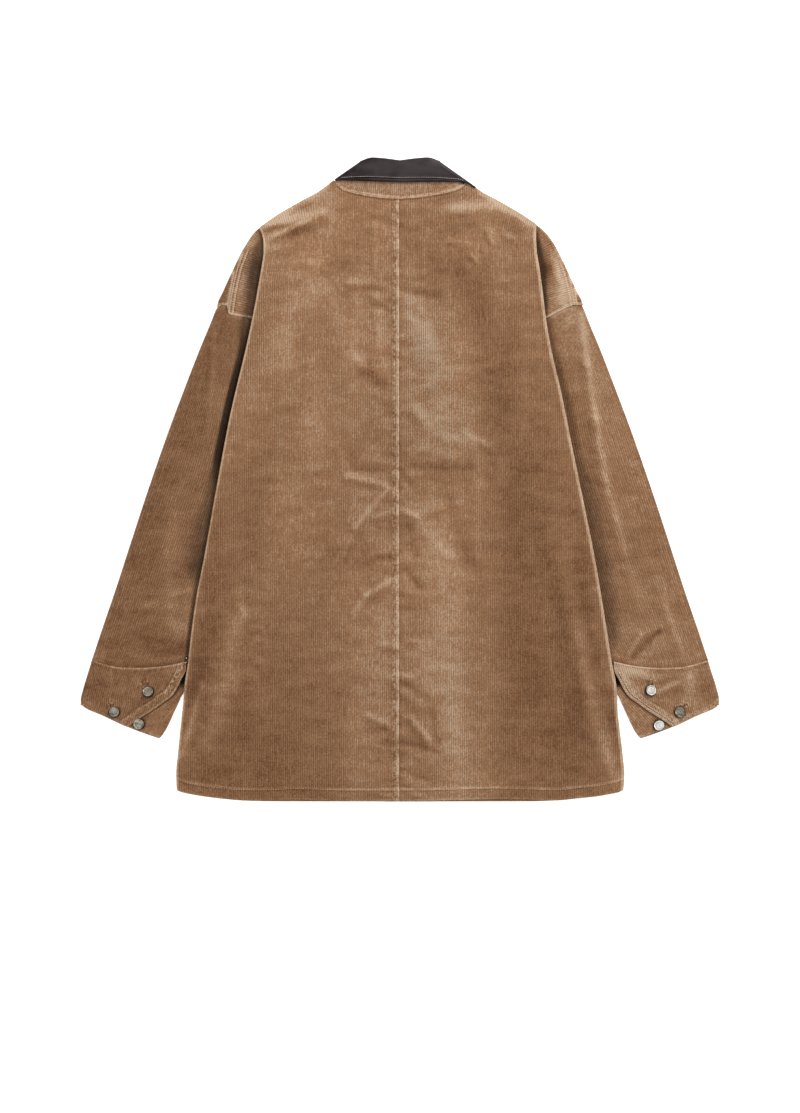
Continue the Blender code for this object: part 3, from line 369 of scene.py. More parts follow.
# Painted highlight along the shoulder's edge, and painted shade on its rolled edge.
SHOULDER_EDGE_HIGHLIGHT = {-1: 0.9, 1: 1.15}
SHOULDER_EDGE_SHADE = {-1: 0.0, 1: 0.18}
FLAP_LIP_HIGHLIGHT = {-1: 0.0, 1: 0.5}  # painted highlight between the flap's edge and its first row of stitches
FLAP_ROW_SHADE = {-1: 0.8, 1: 0.4}  # beside its rows of stitches
CUFF_EDGE_WIDTH = {-1: 9.5, 1: 7.6}  # of the turned band along the cuff's free edge
# Painted highlights on the turned band along the cuff's free edge, strongest on its two edge lines.
CUFF_EDGE_HIGHLIGHT = {-1: 0.15, 1: 0.4}
CUFF_EDGE_SEWN = {-1: 0.0, 1: 0.5}
# How strongly the grooves of the band's other end are painted in shade.
UNDER_END_GROOVE_SHADE = {-1: 0.55, 1: 0.95}
UNDER_END_SHADOW = {-1: 3.5, 1: 2.6}  # how far the flap's shadow reaches on the band's other end

# The deep shadow of the side folds over the shoulder ends and sleeves: its depth, how far it stays
# so deep and how far it reaches.
SHADOW = Table(
    "y left_depth left_flat left_reach right_depth right_flat right_reach",
    (326, 0.1, 1, 5, 0.4, 1, 5), (313, 0.4, 2, 9, 0.7, 2, 8), (297, 0.5, 8, 21, 0.72, 4, 12),
    (275, 0.68, 10, 27, 0.68, 5, 13), (246, 0.64, 8, 25, 0.74, 2.5, 10), (228, 0.6, 7, 22, 0.78, 1.5, 9),
    (205, 0.6, 7, 20, 0.36, 1.5, 6), (162, 0.84, 6, 13, 0.28, 2, 8), (119, 0.88, 8, 12.5, 0.26, 5, 12),
    (84, 0.9, 8, 13, 0.26, 6, 14), (40, 0.9, 8, 14, 0.26, 6, 16), (-27, 0.5, 4, 22, 0.38, 12, 26),
    (-75, 0.54, 4, 34, 0.38, 12, 26), (-110, 0.62, 6, 32, 0.4, 12, 28), (-145, 0.36, 3, 9, 0.38, 12, 28),
    (-200, 0.46, 3, 7, 0.4, 8, 22), (-228, 0.5, 3, 7, 0.15, 3, 8),
)  # fmt: skip


def fold_x(side, y):
    return SIDE_FOLD(SIDES[side], y)


def neck_y(side, far):
    return NECK(SIDES[side], far)


def armhole_y(side, far):
    return BACK_ARMHOLE(SIDES[side], far)


def from_line(x, y, ax, ay, dx, dy):
    """How far each point is from the straight line that starts at (ax, ay) and runs by (dx, dy)."""
    t = np.clip(((x - ax) * dx + (y - ay) * dy) / (dx * dx + dy * dy), 0.0, 1.0)
    return np.hypot(x - ax - t * dx, y - ay - t * dy)


def crease_height(x, y, creases):
    total = np.zeros(np.broadcast(x, y).shape)
    for ax, ay, bx, by, width, height in creases:
        dx, dy = bx - ax, by - ay
        square = np.array([-dy, dx]) / math.hypot(dx, dy)
        lit = 0.7 * width * math.copysign(1.0, square @ LIT_FROM)
        away = from_line(x, y, ax - square[0] * lit, ay - square[1] * lit, dx, dy)
        total += CREASE_RISE * height * bell(away, width)
    return total


def crease_painted_light(x, y, creases):
    """Painted light along a crease: lighter on its lit line, and painted shade in a trough."""
    total = np.zeros(np.broadcast(x, y).shape)
    for ax, ay, bx, by, width, height in creases:
        dx, dy = bx - ax, by - ay
        along = abs(dx * LIT_FROM[0] + dy * LIT_FROM[1]) / math.hypot(dx, dy)
        away = from_line(x, y, ax, ay, dx, dy)
        total += CREASE_PAINTED_LIGHT * (1 + along**4) * height * bell(away, 0.65 * width)
    return total


def mottle(x, y, wide, tall, seed):
    """Smooth random values from -1 to 1, in patches of that width and height."""
    table = np.random.RandomState(seed).uniform(-1, 1, (97, 89))
    gx, gy = x / wide + 40.3, y / tall + 45.7
    ix, iy = np.floor(gx).astype(int), np.floor(gy).astype(int)
    fx, fy = smooth(gx - ix), smooth(gy - iy)
    a, b = table[iy % 97, ix % 89], table[iy % 97, (ix + 1) % 89]
    c, d = table[(iy + 1) % 97, ix % 89], table[(iy + 1) % 97, (ix + 1) % 89]
    return between(between(a, b, fx), between(c, d, fx), fy)


def patches(x, y, rows):
    total = np.zeros(np.broadcast(x, y).shape)
    ragged = 1 + 0.35 * mottle(x, y, 11.0, 6.0, 41)
    for px, py, wide, tall, turn, strength in rows:
        c, s = math.cos(math.radians(turn)), math.sin(math.radians(turn))
        u = ((x - px) * c + (y - py) * s) / wide
        v = ((y - py) * c - (x - px) * s) / tall
        total += strength * np.exp(-(u * u + v * v) * ragged)
    return total


def nap_of(x, y, seed):
    """Marbling of the pile, mostly drawn out across the wales."""
    y = y + 9.0 * mottle(x, y, 50.0, 30.0, seed + 5)
    return 0.12 * mottle(x, y, 34.0, 13.0, seed) + 0.18 * mottle(x, y, 14.0, 6.0, seed + 1)


def grain(shape, seed):
    """A random tone to each wale, new every few rows: short broken streaks along the wales."""
    at = np.arange(shape[0]) / 1.5
    count = int(at[-1]) + 2
    table = np.random.RandomState(seed).normal(0.0, 1.1, (count, shape[1] // PER_WALE + 1))
    table = np.clip(table[:, np.arange(shape[1]) // PER_WALE], -2.2, 2.2)
    k = at.astype(int)
    return between(table[k], table[k + 1], (at - k)[:, None])


def slope_painted_light(points):
    """Painted light: lighter on slopes that look up and to the right, towards the light, and darker on the
    others.
    """
    reach = PER_WALE * 2
    padded = np.pad(points[..., 2], ((0, 0), (reach, reach)), mode="edge")
    weights = np.ones(2 * reach + 1) / (2 * reach + 1)
    flat = np.apply_along_axis(lambda row: np.convolve(row, weights, "valid"), 1, padded)
    slopes = []
    for k, axis in ((0, 1), (1, 0)):
        step = np.gradient(points[..., k], axis=axis)
        slopes.append(np.gradient(flat, axis=axis) / np.where(np.abs(step) < 1e-3, 1e9, step))
    return np.clip(-4.4 * (LIT_FROM[0] * slopes[0] + LIT_FROM[1] * slopes[1]), -0.8, 0.8)


def cloth_relief(x, y, seed):
    """The small unevenness of worn, washed corduroy."""
    broad = 0.22 * mottle(x, y, 60.0, 34.0, seed)
    return broad + 0.12 * mottle(x + 12 * broad, y, 24.0, 8.0, seed + 1)


def wale(across):
    """How deep in a groove a column is: 1 in the groove and 0 on the crown."""
    return np.abs(np.cos(np.pi * across / WALE)) ** 3


def side_shadow(side, x, y):
    away = np.clip(np.abs(x) - fold_x(side, y), 0.0, None)
    depth, flat, reach = (SHADOW(f"{SIDES[side]}_{word}", y) for word in ("depth", "flat", "reach"))
    return depth * smooth((reach - away) / (reach - flat))


# ---------------------------------------------------------------- heights


def collar_rise(x, y, spread):
    below = COLLAR_TIP_Y + 1.5 * np.abs(np.abs(x) - COLLAR_TIP_X)
    return COLLAR_RISE * smooth((y - below + spread) / (spread - 2.0))


def front_height(side, x, y):
    """The middle of a front's wall, as in the solids."""
    lap = LAP_RISE * smooth((68.0 - x) / 45.0) * smooth((320.0 - y) / 35.0) * (side > 0)
    lift = (FOLD_HEIGHT("under", y) - HALF) * smooth((UNDERARM_Y + 15.0 - y) / 45.0)
    inward = SIDE_SEAM("x", y) - np.abs(x)
    return HALF + lap + collar_rise(x, y, 75.0) + lift * smooth(1 - inward / 60.0)


def back_height(side, x, y):
    """The middle of the back's wall, as in the solids, with every crease."""
    lap = LAP_RISE * smooth((95.0 - x) / 50.0) * smooth((x + 60.0) / 40.0) * smooth((345.0 - y) / 50.0)
    collar = collar_rise(x, y, 95.0)
    base = HALF + CLOTH + 1.0 + np.maximum(lap, collar) + 0.7 * np.minimum(lap, collar)
    inward = fold_x(side, np.minimum(y, 300.0)) - np.abs(x)
    flat = fold_x(side, y) - SIDE_SEAM("x", y) + 8.0
    share = smooth(1 - (inward - flat) / 62.0) * smooth((385.0 - y) / 62.0)
    rim = smooth((fold_x(side, y) - np.abs(x)) / 14.0)
    return between(base, FOLD_HEIGHT("over", y), share) + crease_height(x, y, BACK_CREASES) * rim


def seam_relief(x, y):
    """The felled seam: a puffed fold, a puckered sewn band beside it, and ripples off both sides."""
    s = SEAM_X - x  # to the left of the seam
    fold = (0.4 + 0.2 * mottle(x, y, 9.0, 7.0, 16)) * band(s, -0.2, 4.4, 2.2, 1.6)
    layers = 0.6 * band(s, 0.0, 11.0, 1.2, 1.6)
    pucker = 0.25 * band(s, *SEWN_BAND) * mottle(x, y, 2.4, 2.9, 11)
    beside = -0.5 * band(-s, 0.0, 3.4, 0.6, 2.8)
    near = np.exp(-np.abs(s) / 22.0)
    ripple = near * (0.6 * mottle(x, y, 26.0, 9.0, 12) + 0.45 * mottle(x, y, 13.0, 4.0, 13))
    return fold + layers + pucker + beside + ripple


def back_surface(side, x, y):
    """The top of the back's crowns."""
    rim = smooth((fold_x(side, y) - np.abs(x)) / 10.0)
    z = back_height(side, x, y) + TOP + (seam_relief(x, y) + cloth_relief(x, y, 21)) * rim
    z = z + 0.3 * bell(y - HEM("y", x) - HEM_TURN - 0.8, 1.4)
    below_neck = neck_y(side, np.abs(x)) - y
    neck = 0.8 * smooth((2.6 - below_neck) / 1.2) - 0.15 * bell(below_neck - 3.8, 1.0)
    return z + neck * (np.abs(x) < NECK_SEAM_END)


def shoulder_end_surface(side, x, y):
    inset = OUTLINE("x", y) - np.abs(x) - SHOULDER_SEAM(SIDES[side], y)
    z = SLEEVE_HEIGHT("edge", 239.0) + TOP + 0.6 * band(inset, 0.0, 14.0, 0.8, 3.0)
    for row in SHOULDER_ROWS[side]:
        z = z + 0.35 * bell(inset - row, 0.9) - 0.3 * bell(inset - row - 1.9, 0.9)
    z = z + 0.8 * smooth((4.5 - y + armhole_y(side, np.abs(x))) / 1.5)
    z = z + 1.2 * bell(OUTLINE("x", y) - np.abs(x) - 17.0, 9.0) * smooth((y - 225.0) / 20.0)
    return z + 0.5 * mottle(x, y, 16.0, 12.0, 51)


def sleeve_height(side, x, y):
    outer = OUTLINE("x", y)
    inner = np.where(y > CUFF_TOP_Y + 0.5, fold_x(side, y), CUFF_INNER("x", y))
    t = np.clip((outer - np.abs(x)) / np.maximum(outer - inner, 1.0), 0.0, 1.0)
    crown = SLEEVE_HEIGHT("crown", y) * np.sin(np.pi * t**1.1)
    return SLEEVE_HEIGHT("edge", y) + np.maximum(crown, 0.0)


def sleeve_surface(side, x, y):
    """The top of the sleeve's crowns; x is signed."""
    hidden = fold_x(side, y) - np.abs(x)
    z = sleeve_height(side, x, y) + TOP - 1.6 * smooth((hidden + 10.0) / 9.0) * smooth((y + 215.0) / 40.0)
    in_sight = smooth((-hidden - 1.0) / 8.0) * smooth((OUTLINE("x", y) - np.abs(x)) / 8.0)
    z = z + (crease_height(x, y, SLEEVE_CREASES[side]) + cloth_relief(x, y, 71)) * in_sight
    above = y - CUFF_SEAM("y", np.abs(x))
    z = z - 0.5 * bell(y - armhole_y(side, np.abs(x)), 1.6)
    return z - 0.5 * bell(above, 1.5) + 0.35 * bell(above - 5.0, 3.0)


def cuff_surface(side, x, y):
    below = CUFF_SEAM("y", np.abs(x)) - y
    z = sleeve_height(side, x, y) + TOP + 0.6 * band(below, 0.0, 4.6, 0.8, 2.0) - 0.3 * bell(below - 2.4, 0.8)
    end = flap_distance(np.abs(x), y)
    z = z - 0.45 * bell(end - 3.6, 0.9) - 0.5 * bell(end - 10.2, 1.0)
    z = z + band(end, 3.6, 10.2, 1.5) * (0.35 + 0.35 * mottle(x + y, x - y, 3.4, 9.0, 91))
    return z + 0.3 * mottle(x, y, 22.0, 14.0, 92)


# ---------------------------------------------------------------- meshes

MARKS = ("groove", "nap_and_painted_light", "shade", "sewn")


def place(points):
    return (np.asarray(points, float) - (0.0, MIDDLE_Y, 0.0)) * MM


def add_object(name, data):
    thing = bpy.data.objects.new(name, data)
    bpy.context.scene.collection.objects.link(thing)
    return thing


class Cloth:
    """One piece of cloth, gathered from grids of points that meet edge to edge.

    Each point carries four marks for its look: groove between wales, which the look paints in shade;
    nap together with painted light; painted shade, in hollows and under folds and buttons; and sewn,
    where stitches pucker the pile.
    """

    def __init__(self):
        self.points, self.quads, self.values = [], [], []
        self.count = 0

    def grid(self, points, groove=0.0, nap_and_painted_light=0.0, shade=0.0, sewn=0.0, ring=False):
        points = np.asarray(points, float)
        rows, columns = points.shape[:2]
        index = self.count + np.arange(rows * columns).reshape(rows, columns)
        if ring:
            index = np.concatenate([index, index[:, :1]], axis=1)
        quads = np.stack([index[:-1, :-1], index[:-1, 1:], index[1:, 1:], index[1:, :-1]], -1)
        self.points.append(points.reshape(-1, 3))
        self.quads.append(quads.reshape(-1, 4))
        values = np.stack([np.broadcast_to(mark, (rows, columns)) for mark in (groove, nap_and_painted_light, shade, sewn)], -1)
        self.values.append(values.reshape(-1, len(MARKS)))
        self.count += rows * columns

    def build(self, name, facing, look="corduroy"):
        """Welds the grids. The outer side looks up (facing 1), down (-1) or round a tube (0)."""
        mesh = bpy.data.meshes.new(name)
        mesh.from_pydata(place(np.concatenate(self.points)).tolist(), [], np.concatenate(self.quads).tolist())
        for word, values in zip(MARKS, np.concatenate(self.values).T):
            mesh.attributes.new(word, "FLOAT", "POINT").data.foreach_set("value", values.astype(np.float32))
        bm = bmesh.new()
        bm.from_mesh(mesh)
        bmesh.ops.remove_doubles(bm, verts=bm.verts, dist=2e-6)
        bmesh.ops.recalc_face_normals(bm, faces=bm.faces)
        heights = [f.calc_center_median().z for f in bm.faces]
        middle = sum(heights) / len(heights)
        outward = sum(f.normal.z * f.calc_area() * (facing or z - middle) for f, z in zip(bm.faces, heights))
        if outward < 0:
            bmesh.ops.reverse_faces(bm, faces=bm.faces)
        bm.to_mesh(mesh)
        bm.free()
        mesh.shade_smooth()
        mesh.materials.append(LOOK[look])
        return add_object(name, mesh)


def turn_under(points, out, normal, radius, run, runs=2):
    """The grid of an edge that rolls round and runs back inside. Its first row is the edge."""
    out, normal = np.asarray(out, float), np.asarray(normal, float)
    radius, run = np.reshape(radius, (-1, 1)), np.reshape(run, (-1, 1))
    rows = []
    for a in np.pi * np.arange(ROLL_STEPS + 1) / ROLL_STEPS:
        rows.append(points + out * radius * math.sin(a) - normal * radius * (1 - math.cos(a)))
    for k in range(1, runs + 1):
        rows.append(rows[ROLL_STEPS] - out * run * k / runs)
    return np.array(rows)


def half_turn(start, end, away):
    """The columns round a fold, from the line start to the line end, which bulge out by x."""
    a = np.linspace(0, math.pi, TURN_COLUMNS + 1)[1:-1]
    groove = wale(np.arange(1, TURN_COLUMNS) * COLUMN)
    radius = (start[:, 2] - end[:, 2])[:, None] / 2
    plan = start[:, None] + (end - start)[:, None] * ((1 - np.cos(a)) / 2)[None, :, None]
    bulge = (np.abs(radius) - WALE_DEPTH * groove) * np.sin(a)
    z = (start[:, 2] + end[:, 2])[:, None] / 2 + radius * np.cos(a)
    return xyz(plan[..., 0] + away * bulge, plan[..., 1], z), np.broadcast_to(groove, z.shape)


def plan_normals(points, away_from):
    """Horizontal unit vectors square to a path, pointing away from the given point."""
    along = np.gradient(points[:, :2], axis=0)
    square = xyz(-along[:, 1], along[:, 0])
    square /= np.maximum(np.linalg.norm(square, axis=1, keepdims=True), 1e-9)
    side = np.sum(square[:, :2] * (points[:, :2] - np.asarray(away_from)), axis=1)
    return square * np.where(side < 0, -1.0, 1.0)[:, None]


def turned_towards(start, end, share):
    """Unit vectors that turn from one direction to another."""
    out = between(np.asarray(start), np.asarray(end), share[:, None])
    return out / np.linalg.norm(out, axis=1, keepdims=True)


def cut_off(x, y, limit):
    """Ends each row at the limit, with the rest of its points in one place. Returns its last column."""
    last = np.argmax(x >= limit, axis=1)
    for j, k in enumerate(last):
        y[j, k:] = y[j, k]
        x[j, k:] = limit[j, k]
    return last


def finish_piece(piece, replaced=()):
    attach(piece, "root")
    if replaced:
        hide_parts(*replaced)


# ---------------------------------------------------------------- back


def shoulder_edge(side):
    """The shoulder's edge, inset by its roll: points, outward normals and the roll's radius at each."""
    y = np.linspace(SHOULDER_TOP[side], FOLD_TOP[side], 120)
    points = xyz(side * OUTLINE("x", y), y)
    normal = plan_normals(points, (0.0, 300.0))
    radius = np.full(len(y), 1.5)
    for _ in range(3):
        inset_x, inset_y, _ = (points - normal * radius[:, None]).T
        bottom = front_height(side, inset_x, inset_y) + 0.2
        radius = (back_surface(side, inset_x, inset_y) - bottom) / 2
        radius = between(radius, FOLD_RADIUS, smooth((FOLD_TOP[side] + 10.0 - y) / 9.0))
    return points - normal * radius[:, None], normal, radius


def back_plan(side, x0, edge):
    """x and y of the back's points, its top edge and each row's last column before the side fold."""
    far = np.abs(x0)
    edge_far = np.abs(edge[:, 0])

    def lean(y):
        """How far outwards a wale has leant by the height y, near the shoulder."""
        rise = np.where(y < 340.0, np.clip(y - 310.0, 0.0, None) ** 2 / 60.0, y - 325.0)
        return 0.36 * smooth((far - 84.0) / 80.0) * rise

    top = np.minimum(neck_y(side, far), 388.2)
    for _ in range(12):
        top = np.where(far > edge_far[0], np.interp(far + lean(top), edge_far, edge[:, 1]), top)
    upper = top - np.arange(0, 9.5, 0.9)[:, None]
    lower = HEM("y", x0) + HEM_RADIUS + np.arange(0, 19.5, 0.95)[::-1, None]
    t = np.linspace(0, 1, BACK_ROWS + 2)[1:-1, None]
    y = np.concatenate([upper, between(upper[-1], lower[0], t), lower])
    corner_x = fold_x(side, FOLD_TOP[side])
    notch = np.clip(corner_x - fold_x(side, y), 0.0, None)
    x = side * x0 + lean(y) - notch * smooth((far - 110.0) / (corner_x - 110.0))
    last = cut_off(x, y, fold_x(side, y) - FOLD_RADIUS)
    return side * x, y, top, last


def back_marks(side, points, top, to_shoulder):
    """The back's nap and painted light, its sewn mark, and how much its rows of stitches weaken the painted
    shade in the grooves.
    """
    x, y = points[..., 0], points[..., 1]
    nap_and_painted_light = nap_of(x, y, 31) + slope_painted_light(points) + patches(x, y, BACK_NAP_AND_PAINTED_LIGHT)
    nap_and_painted_light += crease_painted_light(x, y, BACK_CREASES)
    # Painted highlight on the felled seam's puffed ridge, and painted shade just to the right of it.
    strip = SEAM_X - x
    wander = strip + 0.5 * mottle(0 * x, y, 9.0, 11.0, 17)
    ridge = band(wander, -0.3, 4.2, 2.0, 1.2)
    nap_and_painted_light += ridge * (0.85 + 0.5 * mottle(0 * x, y, 9.0, 9.0, 15))
    sewn = band(strip, SEWN_BAND[0] - 0.4, SEWN_BAND[1])
    nap_and_painted_light += sewn * (0.1 + 0.3 * mottle(x, y, 2.6, 3.4, 18)) - 0.35 * bell(strip + 1.3, 1.1)
    # Painted highlights along the side fold's edge, the hem's stitched line and edge, and the shoulder's
    # edge.
    inside = fold_x(side, y) - np.abs(x)
    below_fold = smooth((FOLD_TOP[side] - y) / 12.0)
    nap_and_painted_light += SIDE_FOLD_HIGHLIGHT[side] * smooth((SIDE_FOLD_HIGHLIGHT_REACH[side] - inside) / 1.6) * below_fold
    up = y - HEM("y", x)
    uneven = np.clip(0.7 + 0.7 * mottle(x, 0 * y, 24.0, 1.0, 19), 0.0, 1.0)
    hem_line = bell(up - HEM_TURN - 0.8, 1.2) * uneven
    nap_and_painted_light += 0.75 * hem_line + 0.5 * smooth((2.8 - up) / 1.0)
    nap_and_painted_light += SHOULDER_EDGE_HIGHLIGHT[side] * smooth((6.0 - (top - y)) / 4.5) * to_shoulder
    # Painted highlight on the neck seam's ridge, and painted shade just below it.
    below_neck = neck_y(side, np.abs(x)) - y
    by_neck = np.abs(x[0]) < NECK_SEAM_END
    neck_line = smooth((2.8 - below_neck) / 1.1) * by_neck
    nap_and_painted_light += 1.3 * neck_line - 0.35 * bell(below_neck - 3.9, 1.0) * by_neck
    sewn = np.clip(0.55 * sewn + 0.4 * ridge + 0.2 * hem_line + 0.3 * neck_line, 0.0, 1.0)
    return nap_and_painted_light, sewn, np.clip(0.6 * ridge + hem_line + neck_line, 0.0, 1.0)


def back(side):
    cloth = Cloth()
    across = np.arange(0, math.ceil(HALF_WIDTH / COLUMN) + 1) * COLUMN
    x0 = SEAM_X + side * (SEAM_GAP / 2 + across)
    far = np.abs(x0)
    edge, normal, edge_radius = shoulder_edge(side)
    edge_far = np.abs(edge[:, 0])
    x, y, top, last = back_plan(side, x0, edge)
    fade = smooth((fold_x(side, y) - np.abs(x) - 1.2) / EDGE_FADE)
    groove = wale(across) * (0.35 + 0.65 * fade)
    ribs = np.clip(0.95 + 0.3 * mottle(x, y, 45.0, 70.0, 35) + patches(x, y, BACK_GROOVE_SHADE), 0.3, 2.0)
    points = xyz(x, y, back_surface(side, x, y) - WALE_DEPTH * groove * fade)
    streaks = grain(x.shape, 36 + side)
    nap_and_painted_light, sewn, flattened = back_marks(side, points, top, smooth((far - edge_far[0]) / 6.0))
    nap_and_painted_light += GRAIN * streaks
    cloth.grid(points, groove * ribs * (1 + 0.3 * streaks) * (1 - 0.7 * flattened), nap_and_painted_light, 0.0, sewn)

    # A wall down into the seam's gap, with the left half's lip under it, both painted in shade.
    seam = points[:, 0]
    wall = np.stack([seam - (0.0, 0.0, 0.01), seam - (0.0, 0.0, 1.8)], axis=1)
    cloth.grid(wall, 1.0, -1.0, 0.6)
    if side < 0:  # the seam's turned edge runs on a little under the right half
        lip = seam - (0.0, 0.0, 2.0)
        cloth.grid(np.stack([wall[:, 1], lip, lip + (2.0, 0.0, -0.1)], axis=1), 1.0, -1.0, 0.6)

    rows = np.arange(len(y))
    fold = points[rows, last]
    diagonal = np.array([side * 0.7, -0.7, 0.0])
    out = between(normal[-1], np.array([float(side), 0.0, 0.0]), smooth(rows / 9.0)[:, None])
    out = turned_towards(out, diagonal, smooth((rows - rows[-1] + 9) / 9.0))
    under = FOLD_HEIGHT("under", fold[:, 1]) - HALF
    run = np.abs(fold[:, 0]) - SIDE_SEAM("x", fold[:, 1])
    runs = 6
    turned = turn_under(fold, out, UP, np.minimum(FOLD_RADIUS, (fold[:, 2] - under) / 2), run, runs)
    for k in range(1, runs + 1):
        sink = smooth(k / runs * run / 9.0)
        turned[ROLL_STEPS + k, :, 2] = between(turned[ROLL_STEPS, :, 2], under, sink)
    # The rolled fold is painted a little lighter, as a highlight on its rim.
    cloth.grid(turned, 0.2, nap_and_painted_light[rows, last] + 0.4)

    part = slice(int(np.argmax(far > edge_far[0])) - 1, last[0] + 1)
    shoulder = points[0, part]
    at = np.abs(shoulder[:, 0])
    out = np.stack([np.interp(at, edge_far, normal[:, k]) for k in range(3)], -1)
    turned = turn_under(shoulder, out, UP, np.interp(at, edge_far, edge_radius), 3.0)
    cloth.grid(turned, groove[0, part] * 0.7, nap_and_painted_light[0, part] + 0.3, SHOULDER_EDGE_SHADE[side])

    stop = last[-1] + 1
    out = turned_towards((0.0, -1.0, 0.0), diagonal, smooth((np.arange(stop) - stop + 18) / 17.0))
    turned = turn_under(points[-1, :stop], out, UP, HEM_RADIUS, HEM_TURN - 2.0)
    cloth.grid(turned, groove[-1, :stop] * 0.7, nap_and_painted_light[-1, :stop] + 0.15)
    word = SIDES[side]
    piece = cloth.build(f"back_{word}_cloth", 1)
    finish_piece(piece, [f"back_{word}"])


# ---------------------------------------------------------------- shoulder ends

SHOULDER_END_FOOT = 223.8
SHOULDER_END_INNER = (320.0, 203.5)
# How far inside the outline the shoulder seam runs, and how far inside it its rows of stitches.
SHOULDER_SEAM = Table(
    "y left right",
    (316, -2, -6), (277, 1.2, -3.6), (259, 5, -0.5), (250, 7.2, 1.6), (218, 15.5, 10),
)  # fmt: skip
SHOULDER_ROWS = {-1: (0.6, 3.6, 8.6), 1: (0.4, 4.0, 9.4)}
SHOULDER_ROWS_TOP = {-1: 303.0, 1: 288.0}


def shoulder_end(side):
    cloth = Cloth()
    wales = 44
    v = np.linspace(0, 1, wales * PER_WALE + 1)
    y_out = between(FOLD_TOP[side] + 9.0, SHOULDER_END_FOOT, v)
    hidden = 3.0 * smooth((y_out - FOLD_TOP[side] - 1.0) / 6.0) + 0.7 * smooth((231.0 - y_out) / 6.0)
    edge = xyz(side * (OUTLINE("x", y_out) - hidden), y_out - hidden)
    out = plan_normals(edge, (0.0, 260.0))
    radius = (shoulder_end_surface(side, edge[:, 0] - 3.0 * side, y_out) - 0.1) / 2
    edge = edge - out * radius[:, None]
    y_in = between(*SHOULDER_END_INNER, v)
    inner = xyz(side * SIDE_SEAM("x", y_in), y_in)
    u = np.concatenate([np.linspace(0, 0.55, 18), np.linspace(0.55, 1, 46)[1:]])[:, None, None]
    points = inner + (edge - inner) * u
    x, y = points[..., 0], points[..., 1].copy()
    last = y[:, -1].copy()
    y[:, -1] = armhole_y(side, np.abs(x[:, -1])) + SEAM_GAP / 2
    y[:, -33:-1] += np.linspace(0, 0.97, 32) * (y[:, -1] - last)[:, None]
    groove = wale(v * wales * WALE) * np.ones_like(x)
    points = xyz(x, y, shoulder_end_surface(side, x, y) - WALE_DEPTH * groove)

    inset = OUTLINE("x", y) - np.abs(x) - SHOULDER_SEAM(SIDES[side], y)
    above = y - armhole_y(side, np.abs(x))
    streaks = grain(points.shape[:2][::-1], 66 + side).T
    nap_and_painted_light = nap_of(y, x, 61) + patches(x, y, SHOULDER_NAP_AND_PAINTED_LIGHT[side]) + GRAIN * streaks
    begins = smooth((SHOULDER_ROWS_TOP[side] - y) / 14.0)
    # Painted highlights along the rows of stitches with painted shade beside each, a painted highlight along
    # the armhole's ridge, and darker outside the seam.
    for row in SHOULDER_ROWS[side]:
        nap_and_painted_light += (2.2 * bell(inset - row, 1.1) - 1.1 * bell(inset - row - 1.9, 0.9)) * begins
    nap_and_painted_light += 1.5 * smooth((4.4 - above) / 1.5) - 1.1 * smooth(-inset / 1.5)
    shade = side_shadow(side, x, y)
    sewn = band(inset, 0.0, 11.0, 1.5, 2.0) * smooth((300.0 - y) / 20.0)
    sewn = 0.25 * np.maximum(sewn, smooth((5.0 - above) / 1.5))
    cloth.grid(points, groove * (1 + 0.3 * streaks), nap_and_painted_light, shade, sewn)
    turned = turn_under(points[-1], out, UP, (points[-1][:, 2] - 0.1) / 2, 3.0)
    cloth.grid(turned, groove[0] * 0.7, nap_and_painted_light[-1], shade[-1])
    foot = points[:, -1]
    cloth.grid(np.array([foot, foot - (0.0, 0.3, 1.6)]), 0.3, nap_and_painted_light[:, -1], shade[:, -1])
    name = f"back_shoulder_end_{SIDES[side]}"
    piece = cloth.build(f"{name}_cloth", 1)
    finish_piece(piece, [name])


# ---------------------------------------------------------------- sleeves


def meet_cuff_seam(line, u, gap):
    """y where each of a piece's lines meets the cuff's seam, less the gap."""
    y = np.full(len(u), -240.0)
    for _ in range(5):
        y = CUFF_SEAM("y", line(u, y)) + gap
    return y


